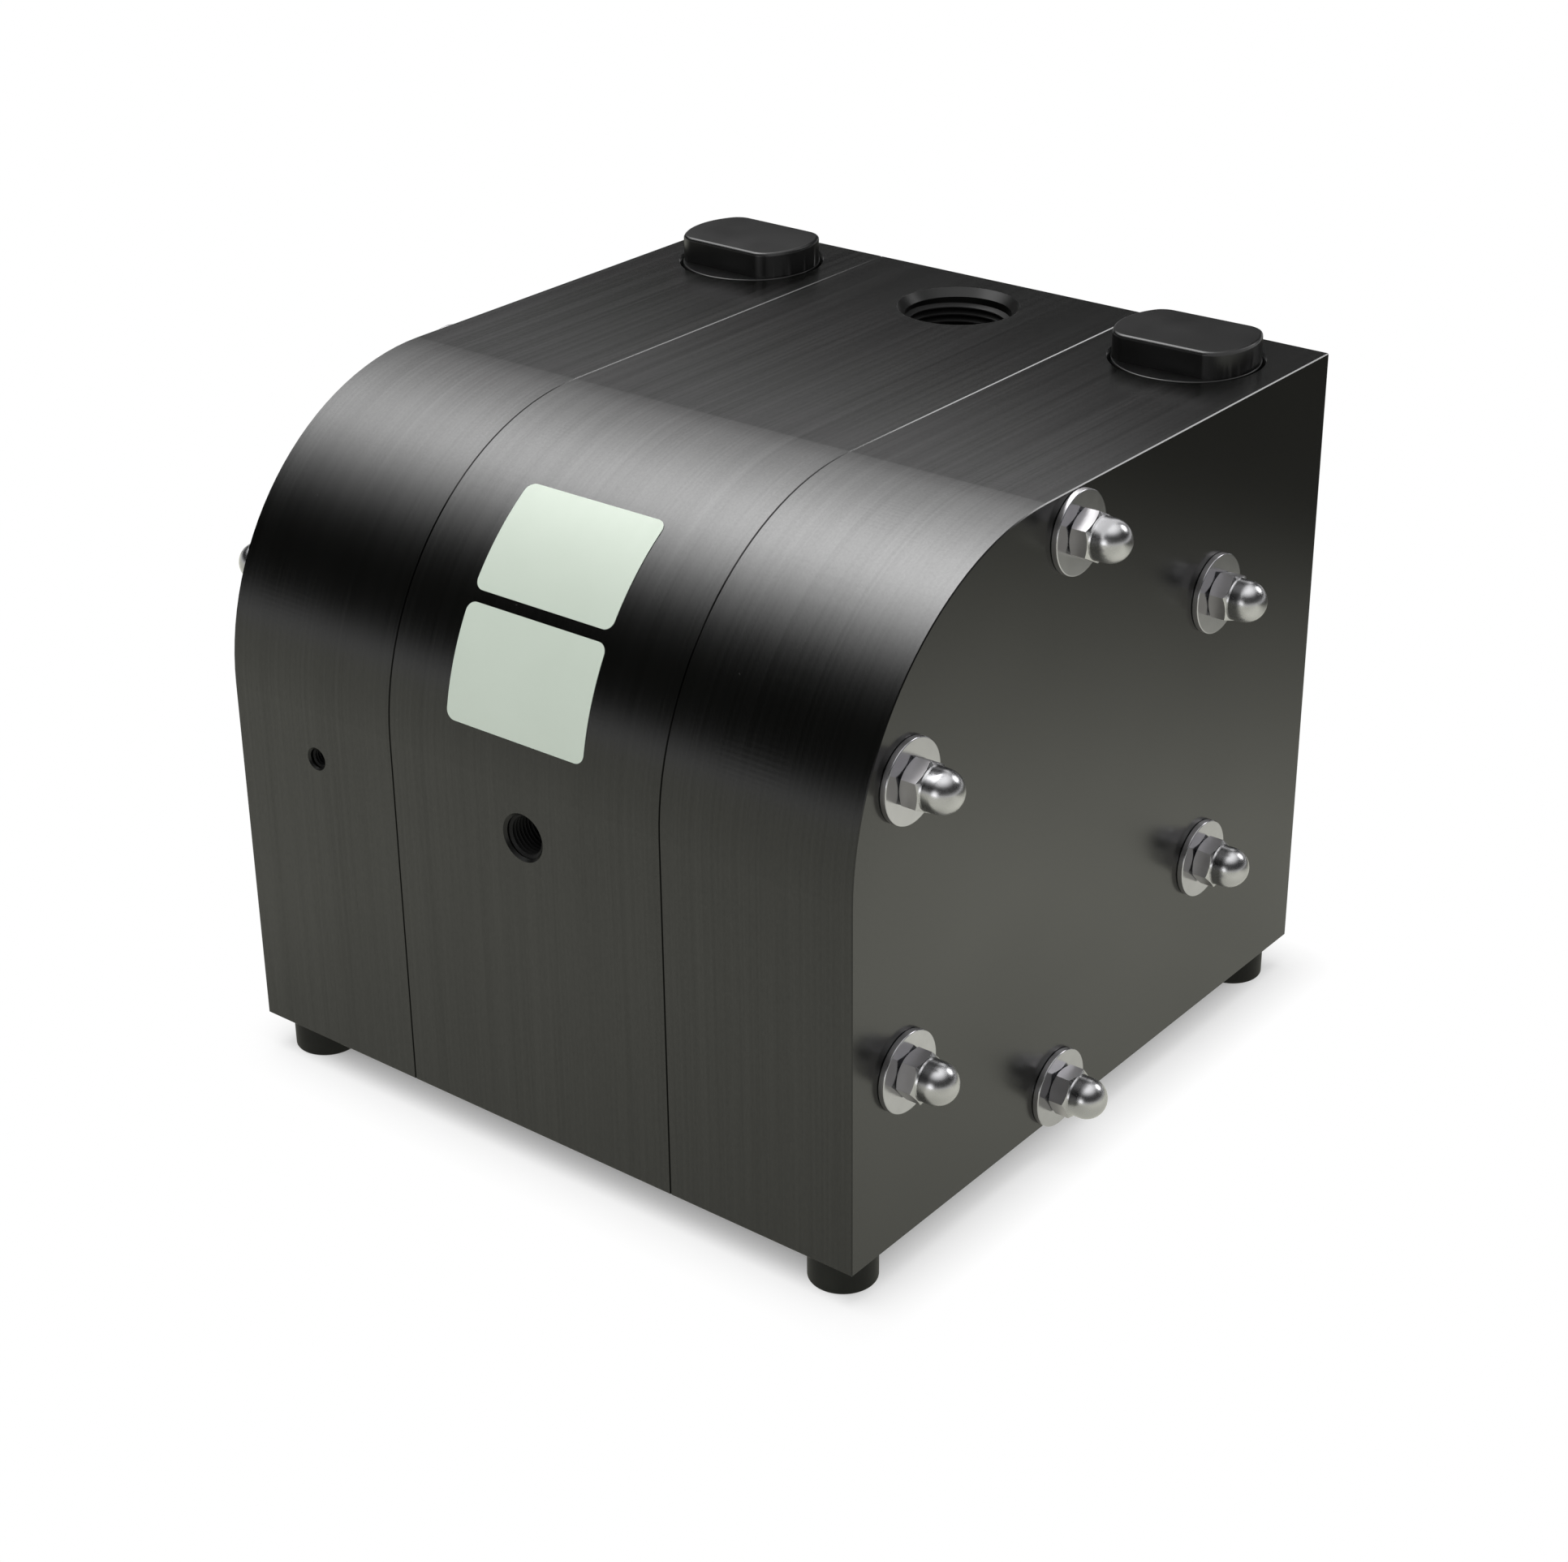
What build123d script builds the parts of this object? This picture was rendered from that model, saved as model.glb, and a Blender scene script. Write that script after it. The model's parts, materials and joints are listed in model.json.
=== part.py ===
from build123d import *
import math
import os

# Air operated double diaphragm pump of the solid block kind, in millimetres.
# +X runs along the diaphragm rod, the front with the air inlet faces -Y, and +Z is up.
# The origin is on the floor, under the middle of the block.

# Three blocks side by side, with one large round shoulder along the top front edge
centre_width = 100.0
side_width = 64.0
shoulder_radius = 84.0
edge_break = 0.3

# Clearances
seat_gap = 0.05
running_gap = 0.05
thread_gap = 0.1
loose_gap = 0.2

# Circle of tie rods round the diaphragm axis, and how far its rods lie inside the faces
bolt_count = 6
bolt_circle_diameter = 174.0
front_rod_depth = 23.156
low_rod_height = 11.0
high_rod_depth = 12.5
tie_rod_diameter = 8.0
tie_rod_hole_diameter = 9.0
washer_diameter = 24.0
washer_hole_diameter = 8.6
washer_thickness = 2.0
nut_across_flats = 13.0
nut_hex_height = 6.5
nut_height = 15.0
nut_dome_diameter = 12.5
nut_thread_depth = 11.0
nut_edge_angle = 30.0
nut_turns = (8.0, 21.0, 4.0, 27.0, 14.0, 0.0)

# Membranes, their metal cores and the rod between them
stroke = 8.0
stroke_clearance = 1.0
rim_radius = 78.0
rim_thickness = 4.0
membrane_wall = 3.0
membrane_wave = 7.0
wave_margin = 2.0
chamber_radius = 62.0
air_chamber_taper = 3.0
air_chamber_corner = 3.0
liquid_chamber_depth = 18.0
liquid_chamber_corner = 10.0
core_radius = 30.0
core_thickness = 7.0
core_edge = 2.5
stud_diameter = 12.0
stud_length = 18.0
stud_run_out = 2.0
rod_diameter = 16.0
rod_edge = 0.5
rod_relief = 0.75
bush_wall = 2.0
bush_length = 18.0
rod_seal_width = 5.0
rod_seal_wall = 4.0
seal_lip_wall = 1.2
seal_lip_depth = 2.5

# Air control valve, a spool in a ported sleeve in front of the rod
valve_offset = 40.0
sleeve_diameter = 28.0
sleeve_bore_diameter = 18.0
sleeve_length = 52.0
sleeve_groove_depth = 2.0
inlet_groove_width = 6.0
outlet_groove_width = 4.0
exhaust_groove_width = 5.0
pilot_groove_width = 3.0
outlet_x = 8.5
exhaust_x = 16.0
pilot_x = 23.0
sleeve_port_diameter = 3.6
sleeve_pilot_diameter = 2.0
spool_travel = 8.0
spool_stop_gap = 0.1
spool_waist_diameter = 10.0
spool_centre_land = 5.0
spool_end_land = 6.0
spool_edge = 0.4
cap_thickness = 4.0
cap_boss_diameter = 10.0
cap_boss_height = 2.0
cap_groove_width = 2.4
cap_groove_depth = 1.6
ring_thickness = 1.2
ring_depth = 1.2
ring_wall = 2.6
ring_opening = 8.0

# Air passages
inlet_thread_diameter = 13.157
inlet_thread_depth = 15.0
inlet_chamfer = 0.8
inlet_bore_diameter = 8.0
outlet_drill_diameter = 5.0
outlet_mouth_drop = 34.0
exhaust_drill_diameter = 8.0
drill_overlap = 1.5
pilot_drill_diameter = 3.5
pilot_groove_depth = 1.5
rod_groove_width = 4.0

# Exhaust silencer, flush in the rear face
silencer_bore_diameter = 56.0
silencer_bore_depth = 40.0
silencer_pad_thickness = 24.0
cover_land = 10.0
cover_thickness = 4.0
cover_hole_diameter = 6.0
cover_hole_inset = 6.0
cover_ring_count = 2
cover_ring_holes = 6
cover_screw_count = 4
cover_screw_diameter = 4.0
cover_screw_head = 7.5
cover_screw_length = 14.0
cover_socket = 2.5
cover_socket_depth = 1.6

# Liquid ports and passages
port_thread_diameter = 33.249
port_thread_depth = 20.0
port_chamfer = 2.4
port_bore_diameter = 25.0
passage_diameter = 22.0
passage_floor_space = 2.0
column_from_rear = 28.0
suction_height = 27.0
chamber_passage_diameter = 18.0
chamber_passage_depth = 8.0
chamber_passage_inset = 13.5
face_ring_inner_diameter = 26.0
face_ring_width = 3.6
face_ring_depth = 2.6

# Valve columns
ball_diameter = 30.0
ball_lift = 7.0
ball_gap = 0.1
ball_side_gap = 0.4
ball_stop_gap = 0.3
flow_space = 3.3
column_wall = 6.656
guide_wall = 2.5
guide_rib_width = 4.0
guide_rib_start = 4.0
guide_cross_height = 6.0
guide_window_diameter = 18.0
guide_window_height = 46.0
seat_height = 10.0
seat_bore_diameter = 20.0
seat_cone_height = 3.5

# Screwed plugs over the valve columns
plug_thread_gap = 0.25
plug_bore_step = 1.5
plug_body_height = 15.5
plug_head_height = 8.2
plug_flats = 34.0
plug_corner = 3.0
plug_top_edge = 1.1
plug_rim_edge = 0.4
plug_head_step = 0.2
plug_mouth_chamfer = 1.0
plug_groove_start = 2.0
plug_groove_width = 3.0
plug_groove_depth = 1.9
plug_turns = (1.5, -1.0)

# Earthing hole in the left block
earth_thread_diameter = 6.0
earth_thread_depth = 14.0
earth_chamfer = 0.6
earth_from_seam = 31.5

# Rubber buffers with a stud above and a tapped insert below
foot_height = 11.5
foot_diameter = 20.0
foot_inset = 12.5
foot_edge = 0.8
foot_thread_diameter = 6.0
foot_stud_length = 10.0
foot_hole_space = 2.0
foot_plate_diameter = 15.0
foot_plate_thickness = 2.0
foot_insert_diameter = 10.0
foot_insert_height = 7.0
foot_flange_thickness = 1.5

# Radii of the valve column, from the ball outwards
ball_radius = ball_diameter / 2
seat_bore_radius = seat_bore_diameter / 2
guide_inner_radius = ball_radius + flow_space
guide_outer_radius = guide_inner_radius + guide_wall
column_radius = guide_outer_radius + loose_gap
plug_bore_radius = column_radius + plug_bore_step
plug_radius = plug_bore_radius - plug_thread_gap

# Size of the block: the tie rods and the column behind them decide its depth and height
bolt_circle_radius = bolt_circle_diameter / 2
rod_offset = bolt_circle_radius * math.cos(math.pi / bolt_count)
axis_from_front = front_rod_depth + rod_offset
column_offset = rod_offset + tie_rod_hole_diameter / 2 + column_wall + column_radius
block_depth = axis_from_front + column_offset + column_from_rear
axis_height = low_rod_height + bolt_circle_radius
block_height = axis_height + bolt_circle_radius + high_rod_depth

# Places that follow from the sizes
front_y = -block_depth / 2
rear_y = block_depth / 2
base_z = foot_height
top_z = base_z + block_height
seam_x = centre_width / 2
end_x = seam_x + side_width
axis_y = front_y + axis_from_front
axis_z = base_z + axis_height

pocket_x = seam_x + rim_thickness
rod_end_x = seam_x - core_thickness
web_x = rod_end_x - stroke - stroke_clearance
rod_radius = rod_diameter / 2
rod_bore_radius = rod_radius + rod_relief
bush_radius = rod_radius + bush_wall
rod_seal_radius = rod_radius + rod_seal_wall
bush_end_x = web_x - rod_seal_width
bush_start_x = bush_end_x - bush_length

valve_y = axis_y - valve_offset
sleeve_radius = sleeve_diameter / 2
sleeve_end_x = sleeve_length / 2
cap_end_x = sleeve_end_x + cap_thickness
spool_radius = sleeve_bore_diameter / 2 - running_gap
spool_half_length = sleeve_end_x - cap_boss_height - spool_travel / 2 - spool_stop_gap
spool_x = -spool_travel / 2
exhaust_drill_z = axis_z + sleeve_radius + exhaust_drill_diameter / 2 - drill_overlap

silencer_floor_y = rear_y - silencer_bore_depth
cover_back_y = rear_y - cover_thickness
cover_diameter = silencer_bore_diameter + 2 * cover_land
cover_screw_circle = silencer_bore_diameter + cover_land
cover_ring_pitch = (silencer_bore_diameter / 2 - cover_hole_inset) / cover_ring_count

column_x = seam_x + side_width / 2
column_y = rear_y - column_from_rear
passage_radius = passage_diameter / 2
suction_z = base_z + suction_height
suction_seat_z = axis_z - guide_window_height - seat_height
suction_guide_z = suction_seat_z + seat_height
plug_bottom_z = top_z - plug_body_height
guide_height = (plug_bottom_z - suction_seat_z) / 2 - seat_height
discharge_seat_z = suction_guide_z + guide_height
discharge_guide_z = discharge_seat_z + seat_height
discharge_z = discharge_guide_z + guide_window_height

cone_start = seat_height - seat_cone_height
ball_rise = cone_start - seat_bore_radius + math.sqrt(2) * (ball_radius + ball_gap)
stop_rise = ball_rise - seat_height + ball_radius + ball_lift + ball_stop_gap

foot_x = end_x - foot_inset
foot_y = block_depth / 2 - foot_inset

rod_axis = Axis((0, axis_y, axis_z), (1, 0, 0))
valve_axis = Axis((0, valve_y, axis_z), (1, 0, 0))
column_axis = Axis((column_x, column_y, 0), (0, 0, 1))


def front_view(x, y, z):
    """Sketch plane through a point, seen from the front: its own X is +X and its own Y is up."""
    return Plane(origin=(x, y, z), x_dir=(1, 0, 0), z_dir=(0, -1, 0))


def block_outline(x):
    """Side view of the block at x: square behind and below, one large round shoulder in front."""
    with BuildSketch(Plane.YZ.offset(x)) as outline:
        with BuildLine():
            Polyline(
                (front_y, top_z - shoulder_radius),
                (front_y, base_z),
                (rear_y, base_z),
                (rear_y, top_z),
                (front_y + shoulder_radius, top_z),
            )
            JernArc(
                start=(front_y + shoulder_radius, top_z),
                tangent=(-1, 0),
                radius=shoulder_radius,
                arc_size=90,
            )
        make_face()
    return outline.sketch


def tie_rod_circles(x, radius):
    """One circle round each tie rod, in the plane at x."""
    with BuildSketch(Plane.YZ.offset(x)) as circles:
        with Locations((axis_y, axis_z)):
            with PolarLocations(bolt_circle_radius, bolt_count, start_angle=90):
                Circle(radius)
    return circles.sketch


def sharp_edges(block):
    """All edges of a plain block but the two where the shoulder runs smoothly into the flats."""
    smooth = (
        block.edges()
        .filter_by(Axis.X)
        .filter_by(
            lambda edge: abs(edge.center().Y - front_y - shoulder_radius) < edge_break
            or abs(edge.center().Z - top_z + shoulder_radius) < edge_break
        )
    )
    return [edge for edge in block.edges() if edge not in smooth]


def circles_of(part, radius):
    """The circular edges of a part that have a given radius."""
    return (
        part.edges()
        .filter_by(GeomType.CIRCLE)
        .filter_by(lambda edge: abs(edge.radius - radius) < seat_gap / 2)
    )


def ring_outline(plane, inner_radius, outer_radius):
    """Flat ring on a plane: the start of a washer, or of a sealing ring squashed into its groove."""
    with BuildSketch(plane) as ring:
        Circle(outer_radius)
        Circle(inner_radius, mode=Mode.SUBTRACT)
    return ring.sketch


# Centre housing: air side of both diaphragms, air valve, rod, silencer and the two liquid ports
with BuildPart() as centre_housing:
    extrude(block_outline(0), amount=seam_x, both=True)
    chamfer(sharp_edges(centre_housing), edge_break)
    extrude(tie_rod_circles(0, tie_rod_hole_diameter / 2), amount=seam_x, both=True, mode=Mode.SUBTRACT)
    # air chamber behind each membrane
    with BuildSketch(front_view(0, axis_y, axis_z)) as air_chamber:
        with BuildLine():
            Polyline(
                (web_x, 0),
                (web_x, chamber_radius - air_chamber_taper),
                (seam_x, chamber_radius),
                (seam_x, 0),
                close=True,
            )
        make_face()
        chamfer(air_chamber.vertices().group_by(Axis.X)[0].sort_by(Axis.Y)[-1], air_chamber_corner)
        mirror(about=Plane.YZ)
    revolve(axis=rod_axis, mode=Mode.SUBTRACT)
    # stepped bore for the rod with its bushes and seals
    with BuildSketch(front_view(0, axis_y, axis_z)):
        with BuildLine():
            Polyline(
                (0, 0),
                (web_x, 0),
                (web_x, rod_seal_radius),
                (bush_end_x, rod_seal_radius),
                (bush_end_x, bush_radius),
                (bush_start_x, bush_radius),
                (bush_start_x, rod_bore_radius),
                (0, rod_bore_radius),
                close=True,
            )
        make_face()
        mirror(about=Plane.YZ)
    revolve(axis=rod_axis, mode=Mode.SUBTRACT)
    # through bore for the valve sleeve, with a groove for each retaining ring
    with BuildSketch(front_view(0, valve_y, axis_z)):
        with Locations((0, sleeve_radius / 2)):
            Rectangle(2 * web_x, sleeve_radius)
        with Locations((cap_end_x, 0)):
            Rectangle(ring_thickness + 2 * seat_gap, sleeve_radius + ring_depth, align=Align.MIN)
        mirror(about=Plane.YZ)
    revolve(axis=valve_axis, mode=Mode.SUBTRACT)
    # air inlet: tapped mouth, then a smaller bore on to the sleeve
    with BuildSketch(Plane.XZ.offset(-front_y)):
        with Locations((0, axis_z)):
            Circle(inlet_thread_diameter / 2)
    extrude(amount=-inlet_thread_depth, mode=Mode.SUBTRACT)
    chamfer(circles_of(centre_housing, inlet_thread_diameter / 2).sort_by(Axis.Y)[0], inlet_chamfer)
    with BuildSketch(Plane.XZ.offset(-front_y)):
        with Locations((0, axis_z)):
            Circle(inlet_bore_diameter / 2)
    extrude(amount=front_y - valve_y, mode=Mode.SUBTRACT)
    # outlet drillings, slanting from each air chamber to the sleeve
    for side in (1, -1):
        outlet_foot = Vector(side * outlet_x, valve_y, axis_z - sleeve_radius + drill_overlap)
        outlet_mouth = Vector(side * web_x, valve_y, axis_z - outlet_mouth_drop)
        outlet_run = outlet_mouth - outlet_foot
        with BuildSketch(Plane(origin=outlet_foot, z_dir=outlet_run)):
            Circle(outlet_drill_diameter / 2)
        extrude(amount=outlet_run.length + outlet_drill_diameter / 2, mode=Mode.SUBTRACT)
    # silencer bore, the seat of its cover and the tapped holes of the cover's screws
    with BuildSketch(Plane.XZ.offset(-rear_y)):
        with Locations((0, axis_z)):
            Circle(silencer_bore_diameter / 2)
    extrude(amount=silencer_bore_depth, mode=Mode.SUBTRACT)
    with BuildSketch(Plane.XZ.offset(-rear_y)):
        with Locations((0, axis_z)):
            Circle(cover_diameter / 2)
    extrude(amount=cover_thickness, mode=Mode.SUBTRACT)
    with BuildSketch(Plane.XZ.offset(-rear_y)):
        with Locations((0, axis_z)):
            with PolarLocations(cover_screw_circle / 2, cover_screw_count, start_angle=45):
                Circle(cover_screw_diameter / 2 + thread_gap)
    extrude(amount=cover_screw_length + loose_gap, mode=Mode.SUBTRACT)
    # exhaust drillings over the rod, and pilot drillings through its bushes
    with BuildSketch(Plane.XZ.offset(-silencer_floor_y)):
        with Locations((exhaust_x, exhaust_drill_z), (-exhaust_x, exhaust_drill_z)):
            Circle(exhaust_drill_diameter / 2)
    extrude(amount=silencer_floor_y - valve_y + exhaust_drill_diameter / 2, mode=Mode.SUBTRACT)
    with BuildSketch(Plane.XZ.offset(-silencer_floor_y)):
        with Locations((pilot_x, axis_z), (-pilot_x, axis_z)):
            Circle(pilot_drill_diameter / 2)
    extrude(amount=silencer_floor_y - valve_y - sleeve_radius / 2, mode=Mode.SUBTRACT)
    # discharge port from above, suction port from behind
    with BuildSketch(Plane.XY.offset(top_z)):
        with Locations((0, column_y)):
            Circle(port_thread_diameter / 2)
    extrude(amount=-port_thread_depth, mode=Mode.SUBTRACT)
    chamfer(circles_of(centre_housing, port_thread_diameter / 2).sort_by(Axis.Z)[-1], port_chamfer)
    with BuildSketch(Plane.XY.offset(top_z)):
        with Locations((0, column_y)):
            Circle(port_bore_diameter / 2)
    extrude(amount=discharge_z - top_z, mode=Mode.SUBTRACT)
    with BuildSketch(Plane.XZ.offset(-rear_y)):
        with Locations((0, suction_z)):
            Circle(port_thread_diameter / 2)
    extrude(amount=port_thread_depth, mode=Mode.SUBTRACT)
    chamfer(circles_of(centre_housing, port_thread_diameter / 2).sort_by(Axis.Y)[-1], port_chamfer)
    with BuildSketch(Plane.XZ.offset(-rear_y)):
        with Locations((0, suction_z)):
            Circle(port_bore_diameter / 2)
    extrude(amount=column_from_rear, mode=Mode.SUBTRACT)
    # cross passages for suction and discharge, with a groove for a sealing ring at each seam
    with BuildSketch(Plane.YZ):
        with Locations((column_y, suction_z), (column_y, discharge_z)):
            Circle(passage_radius)
    extrude(amount=seam_x, both=True, mode=Mode.SUBTRACT)
    for side in (1, -1):
        with BuildSketch(Plane.YZ.offset(side * seam_x)):
            with Locations((column_y, suction_z), (column_y, discharge_z)):
                Circle(face_ring_inner_diameter / 2 + face_ring_width)
                Circle(face_ring_inner_diameter / 2, mode=Mode.SUBTRACT)
        extrude(amount=-side * face_ring_depth, mode=Mode.SUBTRACT)

# Right housing: liquid side of one diaphragm, and its valve column
with BuildPart() as right_housing:
    extrude(block_outline(seam_x), amount=side_width)
    chamfer(sharp_edges(right_housing), edge_break)
    extrude(tie_rod_circles(seam_x, tie_rod_hole_diameter / 2), amount=side_width, mode=Mode.SUBTRACT)
    # pocket for the membrane's rim, and the liquid chamber beyond it
    with BuildSketch(front_view(0, axis_y, axis_z)):
        with BuildLine():
            Polyline(
                (seam_x, 0),
                (seam_x, rim_radius),
                (pocket_x, rim_radius),
                (pocket_x, chamber_radius),
                (pocket_x + liquid_chamber_depth - liquid_chamber_corner, chamber_radius),
                (pocket_x + liquid_chamber_depth, chamber_radius - liquid_chamber_corner),
                (pocket_x + liquid_chamber_depth, 0),
                close=True,
            )
        make_face()
    revolve(axis=rod_axis, mode=Mode.SUBTRACT)
    # stepped column bore: inlet space, shoulder under the lower seat, stack of valves, plug
    with BuildSketch(front_view(column_x, column_y, 0)):
        with BuildLine():
            Polyline(
                (0, suction_z - passage_radius - passage_floor_space),
                (passage_radius, suction_z - passage_radius - passage_floor_space),
                (passage_radius, suction_seat_z),
                (column_radius, suction_seat_z),
                (column_radius, plug_bottom_z),
                (plug_bore_radius, plug_bottom_z),
                (plug_bore_radius, top_z - plug_mouth_chamfer),
                (plug_bore_radius + plug_mouth_chamfer, top_z),
                (0, top_z),
                close=True,
            )
        make_face()
    revolve(axis=column_axis, mode=Mode.SUBTRACT)
    # suction and discharge passages from the seam to the column
    with BuildSketch(Plane.YZ.offset(seam_x)):
        with Locations((column_y, suction_z), (column_y, discharge_z)):
            Circle(passage_radius)
    extrude(amount=column_x - seam_x, mode=Mode.SUBTRACT)
    # slanting passage from the liquid chamber to the middle of the column
    chamber_end = Vector(
        pocket_x + chamber_passage_depth, axis_y + chamber_radius - chamber_passage_inset, axis_z
    )
    chamber_run = Vector(column_x, column_y, axis_z) - chamber_end
    with BuildSketch(Plane(origin=chamber_end, z_dir=chamber_run)):
        Circle(chamber_passage_diameter / 2)
    extrude(amount=chamber_run.length, mode=Mode.SUBTRACT)
    # holes for the studs of the buffers
    with BuildSketch(Plane.XY.offset(base_z)):
        with Locations((foot_x, foot_y), (foot_x, -foot_y)):
            Circle(foot_thread_diameter / 2 + thread_gap)
    extrude(amount=foot_stud_length + foot_hole_space, mode=Mode.SUBTRACT)

# Left housing: its mirror image, with the earthing hole in front
with BuildPart() as left_housing:
    mirror(right_housing.part, about=Plane.YZ)
    with BuildSketch(Plane.XZ.offset(-front_y)):
        with Locations((-seam_x - earth_from_seam, axis_z)):
            Circle(earth_thread_diameter / 2)
    extrude(amount=-earth_thread_depth, mode=Mode.SUBTRACT)
    chamfer(circles_of(left_housing, earth_thread_diameter / 2).sort_by(Axis.Y)[0], earth_chamfer)

# Tie rods, with a washer and a domed nut on each end
with BuildPart() as tie_rods:
    extrude(
        tie_rod_circles(0, tie_rod_diameter / 2),
        amount=end_x + washer_thickness + nut_thread_depth - loose_gap,
        both=True,
    )


def tie_rod_ends(height):
    """A plane at each end of each tie rod, facing outwards, some way above the block's end face."""
    ends = []
    for side in (1, -1):
        for number in range(bolt_count):
            angle = math.radians(90 + number * 360 / bolt_count)
            origin = (
                side * (end_x + height),
                axis_y + bolt_circle_radius * math.cos(angle),
                axis_z + bolt_circle_radius * math.sin(angle),
            )
            ends.append(Plane(origin=origin, x_dir=(0, side, 0), z_dir=(side, 0, 0)))
    return ends


with BuildPart() as washers:
    for end in tie_rod_ends(0):
        extrude(ring_outline(end, washer_hole_diameter / 2, washer_diameter / 2), amount=washer_thickness)

nut_corner_radius = nut_across_flats / math.sqrt(3)
nut_edge_drop = (nut_corner_radius - nut_across_flats / 2) * math.tan(math.radians(nut_edge_angle))
with BuildPart() as nut:
    # turned blank with a domed end, cut to a hexagon, then drilled blind
    with BuildSketch(Plane.XZ):
        with BuildLine():
            Polyline(
                (0, nut_height),
                (0, 0),
                (nut_corner_radius, 0),
                (nut_corner_radius, nut_hex_height - nut_edge_drop),
                (nut_across_flats / 2, nut_hex_height),
                (nut_dome_diameter / 2, nut_hex_height),
                (nut_dome_diameter / 2, nut_height - nut_dome_diameter / 2),
            )
            RadiusArc(
                (nut_dome_diameter / 2, nut_height - nut_dome_diameter / 2),
                (0, nut_height),
                -nut_dome_diameter / 2,
            )
        make_face()
    revolve(axis=Axis.Z)
    with BuildSketch():
        RegularPolygon(nut_across_flats / 2, 6, major_radius=False)
    extrude(amount=nut_height, mode=Mode.INTERSECT)
    with BuildSketch():
        Circle(tie_rod_diameter / 2 + thread_gap)
    extrude(amount=nut_thread_depth, mode=Mode.SUBTRACT)

with BuildPart() as dome_nuts:
    for number, end in enumerate(tie_rod_ends(washer_thickness)):
        with Locations(end):
            add(nut.part, rotation=(0, 0, nut_turns[number % len(nut_turns)]))

# Right membrane: clamped rim, one rolling wave and a flat middle over the core
wave_start = core_radius + wave_margin
wave_end = chamber_radius - wave_margin
wave_flank = (wave_end - wave_start) / 3
wave_crest_x = pocket_x + membrane_wave
with BuildPart() as right_membrane:
    with BuildSketch(front_view(0, axis_y, axis_z)):
        with BuildLine():
            Polyline(
                (seam_x, 0),
                (pocket_x, 0),
                (pocket_x, wave_start),
                (wave_crest_x, wave_start + wave_flank),
                (wave_crest_x, wave_end - wave_flank),
                (pocket_x, wave_end),
                (pocket_x, rim_radius - loose_gap),
                (seam_x, rim_radius - loose_gap),
                (seam_x, wave_end),
                (wave_crest_x - membrane_wall, wave_end - wave_flank),
                (wave_crest_x - membrane_wall, wave_start + wave_flank),
                (seam_x, wave_start),
                close=True,
            )
        make_face()
    revolve(axis=rod_axis)

# Right diaphragm core: metal disc behind the membrane, with a stud that screws into the rod
with BuildPart() as right_diaphragm_core:
    with BuildSketch(Plane.YZ.offset(rod_end_x)):
        with Locations((axis_y, axis_z)):
            Circle(core_radius)
    extrude(amount=core_thickness)
    chamfer(circles_of(right_diaphragm_core, core_radius), core_edge)
    with BuildSketch(Plane.YZ.offset(rod_end_x)):
        with Locations((axis_y, axis_z)):
            Circle(stud_diameter / 2)
    extrude(amount=-stud_length)

# Diaphragm rod: tapped at both ends, with a pilot groove for each end of the stroke
with BuildPart() as diaphragm_rod:
    with BuildSketch(Plane.YZ):
        with Locations((axis_y, axis_z)):
            Circle(rod_radius)
    extrude(amount=rod_end_x, both=True)
    chamfer(circles_of(diaphragm_rod, rod_radius), rod_edge)
    for side in (1, -1):
        with BuildSketch(Plane.YZ.offset(side * rod_end_x)):
            with Locations((axis_y, axis_z)):
                Circle(stud_diameter / 2 + thread_gap)
        extrude(amount=-side * (stud_length + stud_run_out), mode=Mode.SUBTRACT)
    with BuildSketch(front_view(0, axis_y, axis_z)):
        with Locations((pilot_x - stroke, rod_radius), (stroke - pilot_x, rod_radius)):
            Rectangle(rod_groove_width, 2 * pilot_groove_depth)
    revolve(axis=rod_axis, mode=Mode.SUBTRACT)

# Bushes of the rod, cross drilled for the pilot air
with BuildPart() as rod_bushes:
    with BuildSketch(front_view(0, axis_y, axis_z)):
        with Locations((bush_start_x, rod_radius + running_gap)):
            Rectangle(bush_length, bush_wall - running_gap - seat_gap, align=Align.MIN)
        mirror(about=Plane.YZ)
    revolve(axis=rod_axis)
    with BuildSketch(Plane.XZ.offset(-axis_y)):
        with Locations((pilot_x, axis_z), (-pilot_x, axis_z)):
            Circle(pilot_drill_diameter / 2)
    extrude(amount=bush_radius, both=True, mode=Mode.SUBTRACT)

# Lip seals of the rod, open towards the air chambers
with BuildPart() as rod_seals:
    with BuildSketch(front_view(0, axis_y, axis_z)):
        with Locations((bush_end_x, rod_radius + running_gap)):
            Rectangle(rod_seal_width, rod_seal_wall - running_gap - seat_gap, align=Align.MIN)
        with BuildLine():
            Polyline(
                (web_x, rod_radius + seal_lip_wall),
                (web_x, rod_seal_radius - seal_lip_wall),
                (web_x - seal_lip_depth, rod_radius + rod_seal_wall / 2),
                close=True,
            )
        make_face(mode=Mode.SUBTRACT)
        mirror(about=Plane.YZ)
    revolve(axis=rod_axis)

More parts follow.
